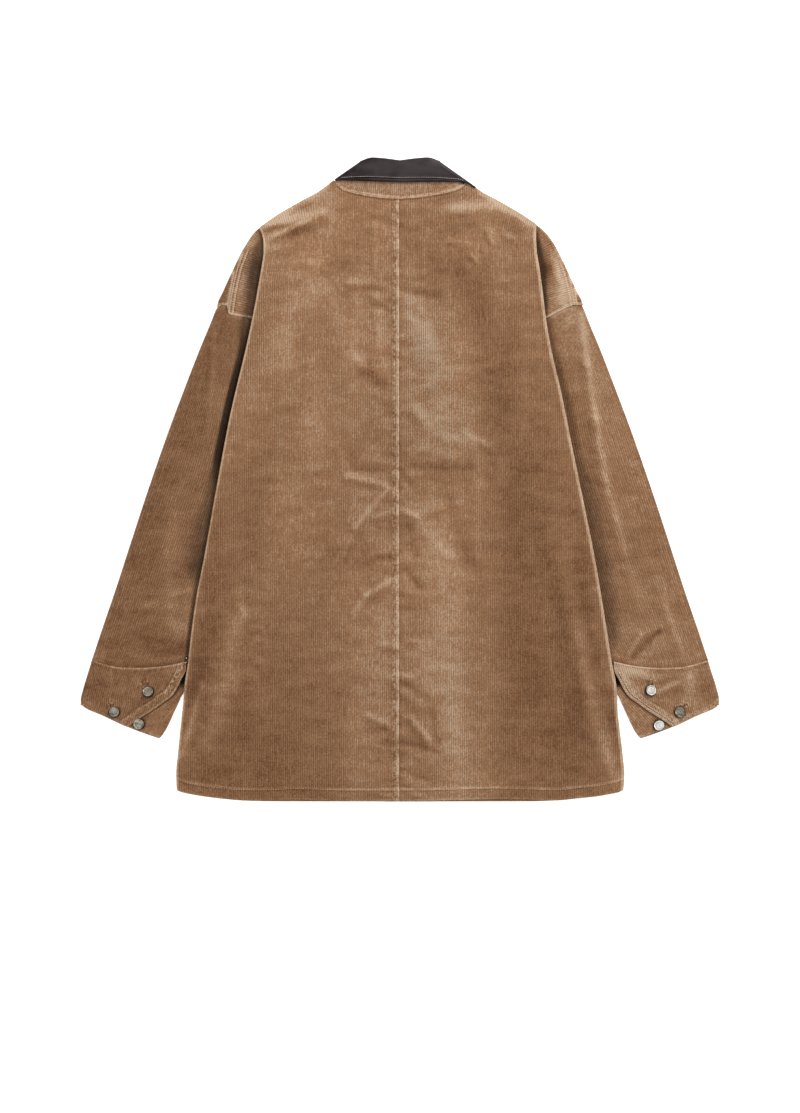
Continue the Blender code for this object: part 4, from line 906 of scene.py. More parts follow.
def sleeve(side):
    wales = 43
    u = np.linspace(0, 1, wales * PER_WALE + 1)
    samples = np.linspace(-244.0, 226.0, 471)
    outer = OUTLINE("x", samples) - 2.9
    width = outer - SLEEVE_FOLD("x", samples) - 1.8

    def line(u, y):
        return np.interp(y, samples, outer) - u * np.interp(y, samples, width)

    def upper_head():
        y = np.full(len(u), 215.0)
        for _ in range(40):
            y = between(y, armhole_y(side, line(u, y)) - SEAM_GAP / 2, 0.4)
        heights = np.linspace(UNDERARM_Y, 226.0, 200)
        for k in np.nonzero(line(u, y) < UNDERARM_X)[0]:
            y[k] = np.interp(UNDERARM_X, line(u[k], heights)[::-1], heights[::-1])
        return y

    def lower_head():
        heights = np.linspace(221.0, UNDERARM_Y, 200)
        wall = np.maximum(FRONT_ARMHOLE("x", heights) + 0.6, UNDERARM_X)
        return np.array([np.interp(0.0, line(t, heights) - wall, heights) for t in u])

    tuck = 0.007
    v = np.concatenate([[-tuck], np.linspace(0, 1, SLEEVE_ROWS + 1), [1 + tuck]])[:, None]
    foot = meet_cuff_seam(line, u, SEAM_GAP)
    y = between(upper_head(), foot, v)
    x = side * line(u, y)
    ribs = wale(u * wales * WALE)
    groove = ribs * smooth((y - foot) / 1.5 + 0.2)
    tucked = ((v < 0) | (v > 1)) * 1.8
    upper = xyz(x, y, sleeve_surface(side, x, y) - WALE_DEPTH * groove - tucked)
    streaks = grain(x.shape, 86 + side)
    # Nap and painted light: marbling, painted light on slopes, creases and patches, the side's tone, grain,
    # and painted light along the outer edge.
    nap_and_painted_light = nap_of(x, y, 81 + side) + slope_painted_light(upper) + patches(x, y, SLEEVE_NAP_AND_PAINTED_LIGHT[side])
    nap_and_painted_light += crease_painted_light(x, y, SLEEVE_CREASES[side]) + SLEEVE_TONE[side] + GRAIN * streaks
    nap_and_painted_light += OUTLINE_PAINTED_LIGHT[side] * smooth((7.0 - OUTLINE("x", y) + np.abs(x)) / 5.0)
    shade = side_shadow(side, x, y)

    y = between(lower_head(), foot, v)
    low_groove = np.broadcast_to(ribs, y.shape)
    lower = xyz(side * line(u, y), y, WALE_DEPTH * low_groove)[:, ::-1]
    low_groove = low_groove[:, ::-1]
    inner_turn, inner_groove = half_turn(upper[:, -1], lower[:, 0], -side)
    outer_turn, outer_groove = half_turn(lower[:, -1], upper[:, 0], side)
    points = np.concatenate([upper, inner_turn, lower, outer_turn], axis=1)
    groove = np.concatenate([groove * (1 + 0.3 * streaks), inner_groove, low_groove, outer_groove], axis=1)
    hidden = 0 * np.concatenate([inner_groove, low_groove], axis=1)
    nap_and_painted_light = np.concatenate([nap_and_painted_light, hidden, nap_and_painted_light[:, :1] + 0 * outer_groove], axis=1)
    shade = np.concatenate([shade, hidden, 0 * outer_groove], axis=1)
    cloth = Cloth()
    cloth.grid(points, groove, nap_and_painted_light, shade, ring=True)
    name = f"sleeve_{SIDES[side]}"
    finish_piece(cloth.build(f"{name}_cloth", 0), [name])


# ---------------------------------------------------------------- cuffs

VENT_FOOT = -262.0  # above this the band's other end leaves the vent open
BAND_WIDTH = 124.0
FLAP_ROWS = (1.0, 10.2)  # painted highlights beside the flap's rows of stitches, from its end


def flap_distance(far, y):
    """How far from the flap's slanting end a point is."""
    levels = np.linspace(CUFF_TOP_Y, -320.0, 30)
    ends = np.stack([FLAP_END("x", levels), levels], -1)
    best = np.full(np.shape(far + y), 1e9)
    for a, b in zip(ends, ends[1:]):
        best = np.minimum(best, from_line(far, y, *a, *(b - a)))
    return best


def behind_back(y):
    """How much further in the band runs where the side of the back lies over it."""
    return 2.6 * smooth((y + 283.0) / 8.0) + 10.0 * smooth((y + 276.0) / 6.0)


def under_buttons(side, x, y):
    """The shade of the buttons that stand over the cuff."""
    shade = 0 * x
    for button_side, _, button_x, button_y, *_ in BUTTONS:
        if button_side == side:
            away = np.hypot(x - abs(button_x) + 1.0, y - button_y + 0.3)
            shade = np.maximum(shade, 0.8 * smooth((8.7 - away) / 1.9))
    return shade


def flap_marks(side, x, y):
    """Nap and painted light, painted shade and sewn of the cuff's upper layer."""
    end = flap_distance(x, y)
    turned = band(end, 2.6, 11.4, 1.5)
    nap_and_painted_light = nap_of(x, y, 101 + side) + CUFF_TONE[side] + patches(x * side, y, CUFF_NAP_AND_PAINTED_LIGHT[side])
    # The puffed band between the flap's rows is painted lighter, with painted highlights and painted shade
    # beside the rows.
    nap_and_painted_light += turned * (0.2 + 0.25 * mottle(x + y, x - y, 3.4, 9.0, 91))
    nap_and_painted_light += FLAP_LIP_HIGHLIGHT[side] * smooth((7.0 - end) / 1.5)
    for row in FLAP_ROWS:
        nap_and_painted_light += 1.5 * bell(end - row, 0.8) - FLAP_ROW_SHADE[side] * bell(end - row - 2.0, 0.9)
    from_edge = y - CUFF_EDGE("y", x)
    width = CUFF_EDGE_WIDTH[side]
    edge = smooth((width - from_edge) / 1.5) * smooth((x - 352.0) / 6.0)
    edge_lines = bell(from_edge - width + 0.9, 0.9) + bell(from_edge - 1.6, 0.9)
    nap_and_painted_light += CUFF_EDGE_HIGHLIGHT[side] * (1 + 2.5 * edge_lines) * edge
    nap_and_painted_light += 0.7 * GRAIN * grain(nap_and_painted_light.shape, 106 + side) + patches(x * side, y, BUTTONHOLE_SLITS[side])
    # Painted highlight on the cuff seam's ridge, and painted shade just below it.
    below = CUFF_SEAM("y", x) - y
    nap_and_painted_light += 1.2 * smooth((2.8 - below) / 1.3) - 0.3 * bell(below - 4.6, 1.2)
    sewn = (0.3 + 0.5 * smooth((y + 285.0) / 15.0)) * turned
    sewn = np.maximum(sewn, CUFF_EDGE_SEWN[side] * edge)
    for slit_x, slit_y, *_ in BUTTONHOLE_SLITS[side]:
        sewn = np.maximum(sewn, smooth((8.0 - np.hypot(x - abs(slit_x), y - slit_y)) / 3.0))
    return nap_and_painted_light, under_buttons(side, x, y), np.maximum(sewn, 0.3 * smooth((5.0 - below) / 1.5))


def cuff(side):
    columns = 44 * PER_WALE
    levels = np.arange(-230.0, -337.0, -1.0)
    beyond = np.clip(-291.0 - levels, 0, None)  # below the outline's last row
    outer = OUTLINE("x", np.maximum(levels, -291.0)) + beyond * 0.3 - 3.1

    def at(y, values):
        return np.interp(-y, -levels, values)

    def line(u, y):
        return at(y, outer) - u * BAND_WIDTH

    def layer(u, wall):
        """x and y of a layer whose lines end at the free edge or, before that, at the wall's x."""
        top = meet_cuff_seam(line, u, -SEAM_GAP)
        foot = np.full(len(u), levels[0])
        for j, t in enumerate(u):
            x = line(t, levels)
            gap = np.where(x > 311.0, levels - CUFF_EDGE("y", x), levels - CUFF_CORNER[1])
            past = np.minimum(gap, (x - wall) * 2.0)
            k = np.argmax(past < 0) if (past < 0).any() else len(past) - 1
            if k > 0:
                foot[j] = between(levels[k - 1], levels[k], past[k - 1] / (past[k - 1] - past[k]))
        foot = np.minimum(foot, top - 0.05)
        y = between(top, foot, np.linspace(0, 1, CUFF_ROWS + 1)[:, None])
        return line(u, y), y, top, foot

    # So far up each wall stands back that the columns run beside it, not into it.
    beside = 12.0
    flap_y = np.linspace(-230.0, -320.2, 92)
    flap_x = FLAP_END("x", flap_y) - beside * (flap_y > VENT_FOOT)
    flap_wall = np.interp(-levels, np.append(-flap_y, 336.0), np.append(flap_x, 354.0))
    u = np.linspace(0, 1, columns + 1)
    x, y, top, foot = layer(u, flap_wall)
    x = np.maximum(x, FLAP_END("x", y))
    groove = wale(u * columns * COLUMN) * smooth((y - foot) / 2.0) * smooth((top - y) / 1.5 + 0.2)
    flap = xyz(x * side, y, cuff_surface(side, x * side, y) - WALE_DEPTH * groove)
    flap, groove, nap_and_painted_light, shade, sewn = (a[:, ::-1] for a in (flap, groove, *flap_marks(side, x, y)))

    wide = np.arange(0, columns + 13) / columns
    inner_x = CUFF_INNER("x", levels) + 1.2 - behind_back(levels)
    x, y, top, foot = layer(wide, inner_x - beside * (levels > -302.0))
    x = np.maximum(x, at(y, inner_x))
    low_groove = wale(wide * columns * COLUMN) * np.ones_like(x)
    lower = xyz(x * side, y, WALE_DEPTH * low_groove)
    turn, turn_groove = half_turn(flap[:, -1], lower[:, 0], side)
    points = np.concatenate([flap, turn, lower], axis=1)
    plain = 0 * np.concatenate([turn_groove, low_groove], axis=1)
    low_nap_and_painted_light = np.concatenate([nap_and_painted_light[:, -1:] + 0 * turn_groove, 0 * low_groove], axis=1)
    cloth = Cloth()
    cloth.grid([flap[0] - (0.0, 0.0, 2.0), flap[0]], 0.3, nap_and_painted_light[0])
    cloth.grid(
        points,
        np.concatenate([groove, turn_groove, low_groove], axis=1),
        np.concatenate([nap_and_painted_light, low_nap_and_painted_light], axis=1),
        np.concatenate([shade, plain], axis=1),
        np.concatenate([sewn, plain], axis=1),
    )
    vent = slice(0, 14), slice(-24, None)  # of the lower layer: its inside behind the vent, as a sheet painted in shade
    dark = smooth((300.0 - x[vent]) / 6.0) * smooth((y[vent] + 270.0) / 6.0)
    cloth.grid(lower[vent] + (0.0, 0.0, 0.8), 0.5, 0.0, dark)

    upper, round_it = slice(0, flap.shape[1]), slice(flap.shape[1], flap.shape[1] + TURN_COLUMNS - 1)
    under = slice(round_it.stop, None)
    edge = points[-1]
    a = np.linspace(0, math.pi, TURN_COLUMNS + 1)[1:-1]
    normal = np.zeros_like(edge)
    normal[upper, 2], normal[under, 2] = 1.0, -1.0
    normal[round_it] = xyz(side * np.sin(a), 0.0, np.cos(a))
    out = np.zeros_like(edge)
    for part in (upper, under):
        out[part] = plan_normals(edge[part], (side * CUFF_MIDDLE[0], CUFF_MIDDLE[1]))
    out[round_it] = out[upper][-1]
    cloth.grid(turn_under(edge, out, normal, 0.8, 6.0), 0.2, 0.35)
    name = f"cuff_{SIDES[side]}"
    finish_piece(cloth.build(f"{name}_band", 0), [name])


def under_end(side):
    """The band's other end, which comes out from under the flap; its wales lie aslant."""
    cloth = Cloth()
    lean = math.radians(43.0)
    along = np.array([-math.sin(lean), math.cos(lean)])  # up and in
    square = np.array([math.cos(lean), math.sin(lean)])
    inset = 0.9
    corner = np.array(CUFF_CORNER) + (0.0, inset)
    edge_x = np.linspace(corner[0], 380.0, 200)
    edge = np.stack([edge_x, CUFF_EDGE("y", edge_x) + inset], -1)
    low = edge @ square - corner @ square
    steps = np.arange(0, low.max(), COLUMN)
    starts = np.stack([np.interp(steps, low, edge[:, k]) for k in range(2)], -1)
    t = np.linspace(0.0, 78.0, 300)
    x, y = (starts[:, k, None] + along[k] * t for k in range(2))
    over = x < CUFF_INNER("x", y) + 0.7 - behind_back(y)
    stop = over | (y > VENT_FOOT)
    stop[:, -1] = True
    k = np.argmax(stop, axis=1)
    plan = starts + along * t[k, None] * np.linspace(0, 1, 22)[:, None, None]
    x, y = plan[..., 0], plan[..., 1]
    groove = np.broadcast_to(wale(steps + 0.7), x.shape)
    from_edge = y - CUFF_EDGE("y", np.maximum(x, corner[0]))
    top = UNDER_END_HEIGHT + TOP - 0.1 + 0.25 * mottle(x, y, 14.0, 10.0, 111)
    top = top - 0.35 * bell(from_edge - 3.4, 0.9)
    points = xyz(x * side, y, top - WALE_DEPTH * groove * smooth(from_edge / 2.0))
    # Lighter along the turned edge, as a painted highlight.
    nap_and_painted_light = nap_of(x, y, 121) + 0.5 * smooth((4.4 - from_edge) / 1.5) + CUFF_TONE[side]
    nap_and_painted_light += GRAIN * grain(nap_and_painted_light.shape, 126 + side)
    near_flap = UNDER_END_SHADOW[side] + 3.0 * smooth((y + 292.0) / 20.0)
    from_flap = np.where(x > FLAP_END("x", y), 0.0, flap_distance(x, y))
    shade = 0.85 * smooth(1.0 - from_flap / near_flap) + 0.5 * smooth((y + 269.0) / 6.0)
    shade = np.clip(np.maximum(shade, under_buttons(side, x, y)), 0.0, 0.9)
    cloth.grid(points, UNDER_END_GROOVE_SHADE[side] * groove, nap_and_painted_light, shade, 0.25 * smooth((5.0 - from_edge) / 1.5))
    cloth.grid(turn_under(points[0], (side * 0.38, -0.92, 0.0), UP, 0.8, 3.0, runs=1), 0.2, 0.4)
    at_side = over[np.arange(len(k)), k]
    cloth.grid(turn_under(points[-1][at_side], (-side * 0.9, -0.42, 0.0), UP, 0.8, 2.0, runs=1), 0.2, 0.5)
    name = f"cuff_{SIDES[side]}"
    piece = cloth.build(f"{name}_under_end", 1)
    finish_piece(piece, [name])


# ---------------------------------------------------------------- fronts

FRONT_ROWS = 49
FRONT_NECK = (
    (-20.0, 318.0), (24.0, 327.0), (34.0, 336.0), (46.0, 344.0), (58.0, 355.5), (68.0, 366.0), (72.5, 371.0),
)  # fmt: skip
FRONT_INSET = 6.5  # from the outline, under the back's rolled shoulder


def front(side):
    cloth = Cloth()
    step = WALE / 2
    across = np.arange(0, math.ceil((HALF_WIDTH + FRONT_LAP) / step) + 1) * step
    x0 = across - FRONT_LAP  # towards the side, on this front's own side
    outer_y = np.linspace(SHOULDER_TOP[side] - 3.0, FOLD_TOP[-1], 60)
    shoulder = np.stack([OUTLINE("x", outer_y) - FRONT_INSET, outer_y - 4.0], -1)
    top = np.interp(x0, *np.concatenate([FRONT_NECK, shoulder]).T)
    foot = FRONT_HEM("y", x0) + HALF
    y = between(top, foot, np.linspace(0, 1, FRONT_ROWS)[:, None])
    x = x0 * np.ones_like(y)
    at_armhole = FRONT_ARMHOLE("x", y) - SEAM_GAP
    limit = np.where(y > UNDERARM_Y, at_armhole, SIDE_SEAM("x", y) - SEAM_GAP / 2)
    last = cut_off(x, y, np.where(y > 222.0, OUTLINE("x", y) - FRONT_INSET, limit))
    groove = wale(across) * np.ones_like(x)
    opened = smooth((y - 235.0) / 91.0)
    x = np.maximum(x, -FRONT_LAP * (1 - 2.2 * opened) + 0.001 * x0)
    points = xyz(side * x, y, front_height(side, side * x, y) - HALF + WALE_DEPTH * groove)
    cloth.grid(points, groove, nap_of(x, y, 131))
    hem = points[-1, : last[-1] + 1]
    cloth.grid(turn_under(hem, (0.0, -1.0, 0.0), (0.0, 0.0, -1.0), HALF, HEM_TURN), 0.3, 0.0)
    name = f"front_{SIDES[side]}"
    finish_piece(cloth.build(f"{name}_cloth", -1), [name])


# ---------------------------------------------------------------- collar

# The collar's lines, at turns round the neck from the centre back (0) to a front end (1).
COLLAR = Table(
    "turn neck_x neck_y neck_z crease_x crease_y crease_z leaf_x leaf_y leaf_z",
    (0, 0, 366.5, 6.6, 0, 412, 16, 0, 386, 12.8),
    (0.12, 24, 368.4, 6.6, 22, 414.8, 16.2, 24.5, 386.5, 12.6),
    (0.24, 46, 371.7, 6.6, 37, 415.9, 15.8, 50, 386.7, 12),
    (0.34, 66, 375.5, 6.6, 42, 415.6, 14.8, 76, 387, 9.8),
    (0.38, 75, 379, 6.5, 44.4, 415, 14.2, 87.4, 385.2, 9.4),
    (0.42, 83, 383, 6.4, 46.4, 414.2, 13.6, 97.2, 379.2, 8.2),
    (0.58, 83, 383, 4, 46.4, 410, 1, 96.6, 379, 1), (0.68, 68, 366, 4, 46, 390, 1, 100, 352, 1),
    (0.84, 46, 344, 4, 34, 366, 1, 84, 316, 1), (1, 24, 327, 4, 18, 348, 1, 58, 288, 1),
)  # fmt: skip
SIDE_TURN = (0.42, 0.58)  # where it goes round the side of the neck
TURN_OUT = {"neck": (0.8, 0.6), "crease": (0.95, -0.12), "leaf": (0.2, 0.25)}
# On the left a line runs inwards and up by these amounts, between these turns.
LEFT_SHIFT = {"neck": (-2.0, 3.6, 0.38, 0.68), "crease": (0, 0, 0, 1), "leaf": (13.2, 9.8, 0.24, 0.68)}
LEFT_LEAF = Table(
    "turn x y z",
    (0, 0, 386, 12.8), (0.12, 24.5, 387, 12.6), (0.24, 49, 387.9, 12), (0.34, 72, 388.8, 10.2),
    (0.42, 84.6, 388.7, 8.8),
)  # fmt: skip
CREASE_RADIUS = 1.6
LEAF_CLEAR = 2.6
LEATHER = 2.0
LEAF_PUFF = 1.6
STITCH_INSET = 4.6  # of the groove in which the collar's stitches lie


def side_angle(turn):
    start, end = SIDE_TURN
    return np.pi * np.clip((np.abs(turn) - start) / (end - start), 0.0, 1.0)


def collar_line(turn, line):
    """Points of one of the collar's lines, at turns from -1 to 1 round the neck."""
    side = np.where(turn < 0, -1.0, 1.0)
    start, end = SIDE_TURN
    far, a = np.abs(turn), side_angle(turn)
    x, y, z = (COLLAR(f"{line}_{axis}", far) for axis in "xyz")
    over, under = COLLAR(f"{line}_z", start), COLLAR(f"{line}_z", end)
    turned = (a > 0) & (a < np.pi)
    radius = (over - under) / 2
    y = np.where(turned, between(COLLAR(f"{line}_y", start), COLLAR(f"{line}_y", end), a / np.pi), y)
    z = np.where(turned, over - radius * (1 - np.cos(a)), z)
    out_x, out_y = TURN_OUT[line]
    bulge = np.where(turned, radius * np.sin(a), 0.0)
    inward, upward, comes, goes = LEFT_SHIFT[line]
    share = smooth((far - comes) / (start - comes)) * smooth((goes - far) / (goes - end)) * (turn < 0)
    x, y = side * (x + out_x * bulge) + inward * share, y + out_y * bulge + upward * share
    points = xyz(x, y, z)
    if line == "leaf":
        left = ((turn < 0) & (far <= start))[:, None]
        points = np.where(left, xyz(-LEFT_LEAF("x", far), LEFT_LEAF("y", far), LEFT_LEAF("z", far)), points)
    return points


def collar_inward(turn):
    """Unit vectors from the crease into the fold."""
    side, a = np.where(turn < 0, -1.0, 1.0), side_angle(turn)
    out_x, out_y = TURN_OUT["crease"]
    return -xyz(side * out_x * np.sin(a), out_y * np.sin(a), np.cos(a))


def leaf_wave(x, y, t):
    """How the leaf swells between its crease (t 0) and its edge (t 1)."""
    return (LEAF_PUFF + 0.5 * mottle(x, y, 30.0, 12.0, 141)) * np.sin(np.pi * t)


def collar_leaf():
    turn = np.linspace(-1, 1, 241)
    crease, edge = collar_line(turn, "crease"), collar_line(turn, "leaf")
    inward = collar_inward(turn)
    over = crease - edge
    over = over - inward * np.sum(over * inward, axis=1, keepdims=True)
    over /= np.linalg.norm(over, axis=1, keepdims=True)
    rows = []
    for a in np.linspace(math.pi, 0, 7)[:-1]:
        rows.append(crease + inward * CREASE_RADIUS * (1 - math.cos(a)) + over * CREASE_RADIUS * math.sin(a))
    at_back = smooth((SIDE_TURN[0] + 0.02 - np.abs(turn)) / 0.1)
    for t in np.concatenate([np.linspace(0, 0.66, 12), np.linspace(0.7, 1, 14)]):
        row = between(crease, edge, t)
        inset = np.linalg.norm(edge - row, axis=1)
        sewn = 0.9 * bell(inset - 2.2, 1.0) + 0.4 * bell(inset - 6.6, 1.2)
        sewn = sewn - 0.7 * bell(inset - STITCH_INSET, 0.9)
        row[:, 2] += at_back * (leaf_wave(row[:, 0], row[:, 1], t) + sewn)
        rows.append(row)
    cloth = Cloth()
    cloth.grid(rows)
    piece = cloth.build("collar_leaf_leather", 0, "leather")
    wall = piece.modifiers.new("wall", "SOLIDIFY")
    wall.thickness = LEATHER * MM
    wall.offset = 0.0
    bevel = piece.modifiers.new("rounded edge", "BEVEL")
    bevel.width = 0.5 * MM
    bevel.segments = 2
    bevel.limit_method = "ANGLE"
    bevel.angle_limit = math.radians(50)
    finish_piece(piece, ["collar_leaf"])


def collar_stand():
    turn = np.linspace(-1, 1, 150 * PER_WALE + 1)
    neck, crease, leaf = (collar_line(turn, line) for line in ("neck", "crease", "leaf"))
    away = leaf - crease
    away /= np.linalg.norm(away, axis=1, keepdims=True)
    crease = crease + collar_inward(turn) * (LEAF_CLEAR + 1.0) + away * 3.0
    at_back = np.abs(turn) < 0.4
    lift = [back_height(side, neck[:, 0], neck[:, 1]) for side in SIDES]
    neck[:, 2] = np.where(at_back, np.where(turn < 0, *lift), neck[:, 2])
    v = np.concatenate([[-0.05, 0.0, 0.02, 0.04, 0.06, 0.08, 0.11, 0.15], np.linspace(0.2, 1, 10)])[:, None]
    points = neck + (crease - neck) * v[..., None]
    x, y = points[..., 0], points[..., 1]
    ridge = smooth((2.2 - v * np.linalg.norm(crease - neck, axis=1)) / 1.0)
    z = np.where(at_back, np.maximum(points[..., 2], back_height(-1, x, y)), points[..., 2])
    length = np.concatenate([[0], np.cumsum(np.linalg.norm(np.diff(neck, axis=0), axis=1))])
    groove = np.broadcast_to(wale(length), x.shape)
    rise = 1.2 * np.sin(np.pi * np.clip(v, 0, 1)) - 1.4 * (v < 0) + 0.7 * ridge
    relief = TOP - WALE_DEPTH * groove + rise + 0.35 * mottle(x, y, 18.0, 9.0, 151)
    points[..., 2] = z + smooth((0.445 - np.abs(turn)) / 0.06) * relief
    # The stand is lighter, with a painted highlight along the neck seam's ridge.
    nap_and_painted_light = nap_of(x, y, 152) + 0.45 + 0.85 * ridge + GRAIN * grain(groove.shape, 153)
    cloth = Cloth()
    cloth.grid(points, groove * (1 - 0.7 * ridge), nap_and_painted_light, 0.0, 0.2 * ridge)
    piece = cloth.build("collar_stand_cloth", 1)
    finish_piece(piece, ["collar_stand"])


# ---------------------------------------------------------------- buttons

# Profiles of turned metal: radius, height, and how much darker the metal is made there.
BUTTON_PROFILE = (
    (0, 0.95, 0.25), (3, 0.92, 0.2), (4.6, 0.85, 0.25), (5, 0.75, 0.5), (5.3, 0.8, 0.35), (5.6, 1.05, 0),
    (5.9, 1.2, 0), (6.25, 1.25, 0), (6.5, 1.1, 0.1), (6.7, 0.75, 0.8), (6.95, 0.3, 0.9), (6.95, -0.5, 1),
    (6.8, -1.1, 1), (6.3, -1.5, 1), (4.2, -1.7, 1), (3, -1.75, 1), (2.6, -1.9, 1),
)  # fmt: skip
SHANK_RADIUS = 2.6
BEAD_AT = (-277.4, -231.4)
BEAD_RING = (
    (1.1, 0.5, 0), (1.5, 0.9, 0), (2, 0.9, 0), (2.4, 0.4, 0), (2.5, -0.6, 0), (1.1, -0.6, 0), (1.1, 0.5, 0),
)  # fmt: skip
BEAD_DOME = ((0, 1, 0), (0.6, 0.85, 0), (1, 0.45, 0), (1.1, -0.4, 0), (0, -0.4, 0))


def spun(name, profile, look, centre, turn, steps):
    """Metal turned from a profile of (radius, height, darkness) points."""
    bm = bmesh.new()
    darkening = bm.verts.layers.float.new("darkening")
    verts = []
    for r, h, dark in profile:
        verts.append(bm.verts.new((r * MM, 0.0, h * MM)))
        verts[-1][darkening] = dark
    for a, b in zip(verts, verts[1:]):
        bm.edges.new((a, b))
    whole = bm.verts[:] + bm.edges[:]
    bmesh.ops.spin(
        bm, geom=whole, axis=UP, cent=(0, 0, 0), angle=math.tau, steps=steps, use_merge=True
    )
    bmesh.ops.remove_doubles(bm, verts=bm.verts, dist=1e-6)
    bmesh.ops.recalc_face_normals(bm, faces=bm.faces)
    for v in bm.verts:
        v.co = turn.to_matrix() @ v.co + Vector(place(centre))
    mesh = bpy.data.meshes.new(f"{name}_metal")
    bm.to_mesh(mesh)
    bm.free()
    mesh.shade_smooth()
    mesh.materials.append(LOOK[look])
    return add_object(f"{name}_metal", mesh)


def button(side, which, x, y, z, tilt, lean, look, _):
    name = f"button_{SIDES[side]}_{which}"
    shank_foot = -5.8 if which == "spare" else -3.4
    profile = BUTTON_PROFILE + ((SHANK_RADIUS, shank_foot, 1.0), (0.0, shank_foot, 1.0))
    turn = Euler((math.radians(-lean), math.radians(tilt) * side, 0.0))
    finish_piece(spun(name, profile, look, [x, y, z], turn, 48), replaced=[name])


def bead():
    """The small metal bead at the inner end of the left cuff's seam."""
    x, y = BEAD_AT
    level = float(sleeve_surface(-1, np.array([x]), np.array([y]))[0]) + 0.4
    for part, look, profile in (("ring", "bead_dark", BEAD_RING), ("dome", "metal_painted_highlight", BEAD_DOME)):
        finish_piece(spun(f"bead_{part}", profile, look, [x, y, level], Euler(), 20))


# ---------------------------------------------------------------- stitches


def add_node(tree, kind, inputs=(), **settings):
    """A new node. Each of its inputs gets a value or another node's output."""
    node = tree.nodes.new(kind)
    for word, value in settings.items():
        setattr(node, word, value)
    for key, value in dict(inputs).items():
        if isinstance(value, bpy.types.NodeSocket):
            tree.links.new(value, node.inputs[key])
        else:
            node.inputs[key].default_value = value
    return node


def stitch_tree():
    """Geometry Nodes: small round-ended stitches along a curve, flattened into the cloth."""
    tree = bpy.data.node_groups.new("stitches along a seam", "GeometryNodeTree")
    sockets = {
        "Geometry": "Geometry", "Spacing": "Float", "Length": "Float", "Width": "Float", "Height": "Float",
        "Loose": "Float", "Seed": "Int", "Material": "Material",
    }  # fmt: skip
    for word, kind in sockets.items():
        tree.interface.new_socket(word, in_out="INPUT", socket_type=f"NodeSocket{kind}")
    tree.interface.new_socket("Geometry", in_out="OUTPUT", socket_type="NodeSocketGeometry")
    given = tree.nodes.new("NodeGroupInput").outputs

    def add(kind, inputs=(), **settings):
        return add_node(tree, kind, inputs, **settings).outputs

    path = {"Curve": given["Geometry"], "Length": given["Spacing"]}
    along = add("GeometryNodeResampleCurve", path, mode="LENGTH")
    ball = add("GeometryNodeMeshUVSphere", {"Segments": 8, "Rings": 5, "Radius": 0.5})
    tangent = add("GeometryNodeInputTangent")
    align = add("FunctionNodeAlignRotationToVector", {"Vector": tangent["Tangent"]}, axis="X")
    size = add("ShaderNodeCombineXYZ", {"X": given["Length"], "Y": given["Width"], "Z": given["Height"]})
    least = add("ShaderNodeMath", {0: 1.0, 1: given["Loose"]}, operation="SUBTRACT")
    chance = add("FunctionNodeRandomValue", {"Seed": given["Seed"], 2: least[0], 3: 1.0}, data_type="FLOAT")
    scale = add("ShaderNodeVectorMath", {0: size[0], "Scale": chance[1]}, operation="SCALE")
    placed = {
        "Points": along["Curve"], "Instance": ball["Mesh"], "Rotation": align["Rotation"], "Scale": scale[0],
    }  # fmt: skip
    copies = add("GeometryNodeInstanceOnPoints", placed)
    real = add("GeometryNodeRealizeInstances", {"Geometry": copies["Instances"]})
    painted = add("GeometryNodeSetMaterial", {"Geometry": real["Geometry"], "Material": given["Material"]})
    add("NodeGroupOutput", {"Geometry": painted["Geometry"]})
    return tree


def stitches(name, paths, look, seed, spacing=3.2, length=2.5, width=0.7, height=0.6, slot="corduroy"):
    """One mesh of stitches along paths of points in millimetres."""
    curve = bpy.data.curves.new(f"{name}_path", "CURVE")
    curve.dimensions = "3D"
    for path in paths:
        spline = curve.splines.new("POLY")
        spline.points.add(len(path) - 1)
        for point, co in zip(spline.points, place(path)):
            point.co = (*co, 1.0)
    guide = add_object(f"{name}_path", curve)
    modifier = guide.modifiers.new("stitches", "NODES")
    modifier.node_group = STITCHES
    values = {
        "Spacing": spacing * MM, "Length": length * MM, "Width": width * MM, "Height": height * MM,
        "Loose": 0.15, "Seed": seed, "Material": LOOK[look],
    }  # fmt: skip
    for item in STITCHES.interface.items_tree:
        if item.in_out == "INPUT" and item.name in values:
            modifier[item.identifier] = values[item.name]
    graph = bpy.context.evaluated_depsgraph_get()
    mesh = bpy.data.meshes.new_from_object(guide.evaluated_get(graph), depsgraph=graph)
    mesh.name = name
    bpy.data.objects.remove(guide, do_unlink=True)
    mesh.shade_smooth()
    finish_piece(add_object(name, mesh))


def on_back(x, y, lift=0.0):
    z = np.where(x < SEAM_X, back_surface(-1, x, y), back_surface(1, x, y))
    return xyz(x, y, z - 0.15 + lift)


def on_shoulder_end(side, x, y):
    return xyz(side * x, y, shoulder_end_surface(side, side * x, y) + 0.05)


def on_cuff(side, x, y, lift):
    return xyz(side * x, y, cuff_surface(side, side * x, y) + lift)


def buttonhole(side, bx, by, turn):
    """The sewn edge of a buttonhole that comes out from under its button."""
    c, s = math.cos(math.radians(turn)), math.sin(math.radians(turn))
    a = np.linspace(-math.pi / 2, math.pi / 2, 9)
    along = np.concatenate([[2.0, 5.0, 8.0], 9.5 + 2.2 * np.cos(a), [8.0, 5.0, 2.0]])
    across = np.concatenate([[-2.2] * 3, 2.2 * np.sin(a), [2.2] * 3])
    x, y = bx + along * c - across * s, by + along * s + across * c
    return xyz(x, y, cuff_surface(side, x, y) + 0.3)


# How far inside the flap's end each of its rows of stitches runs, its bolder look and its width.
FLAP_STITCHES = {-1: ((3.0, 10.2), "thread", 0.7), 1: ((1.9, 4.6, 10.2), "thread_light", 1.5)}


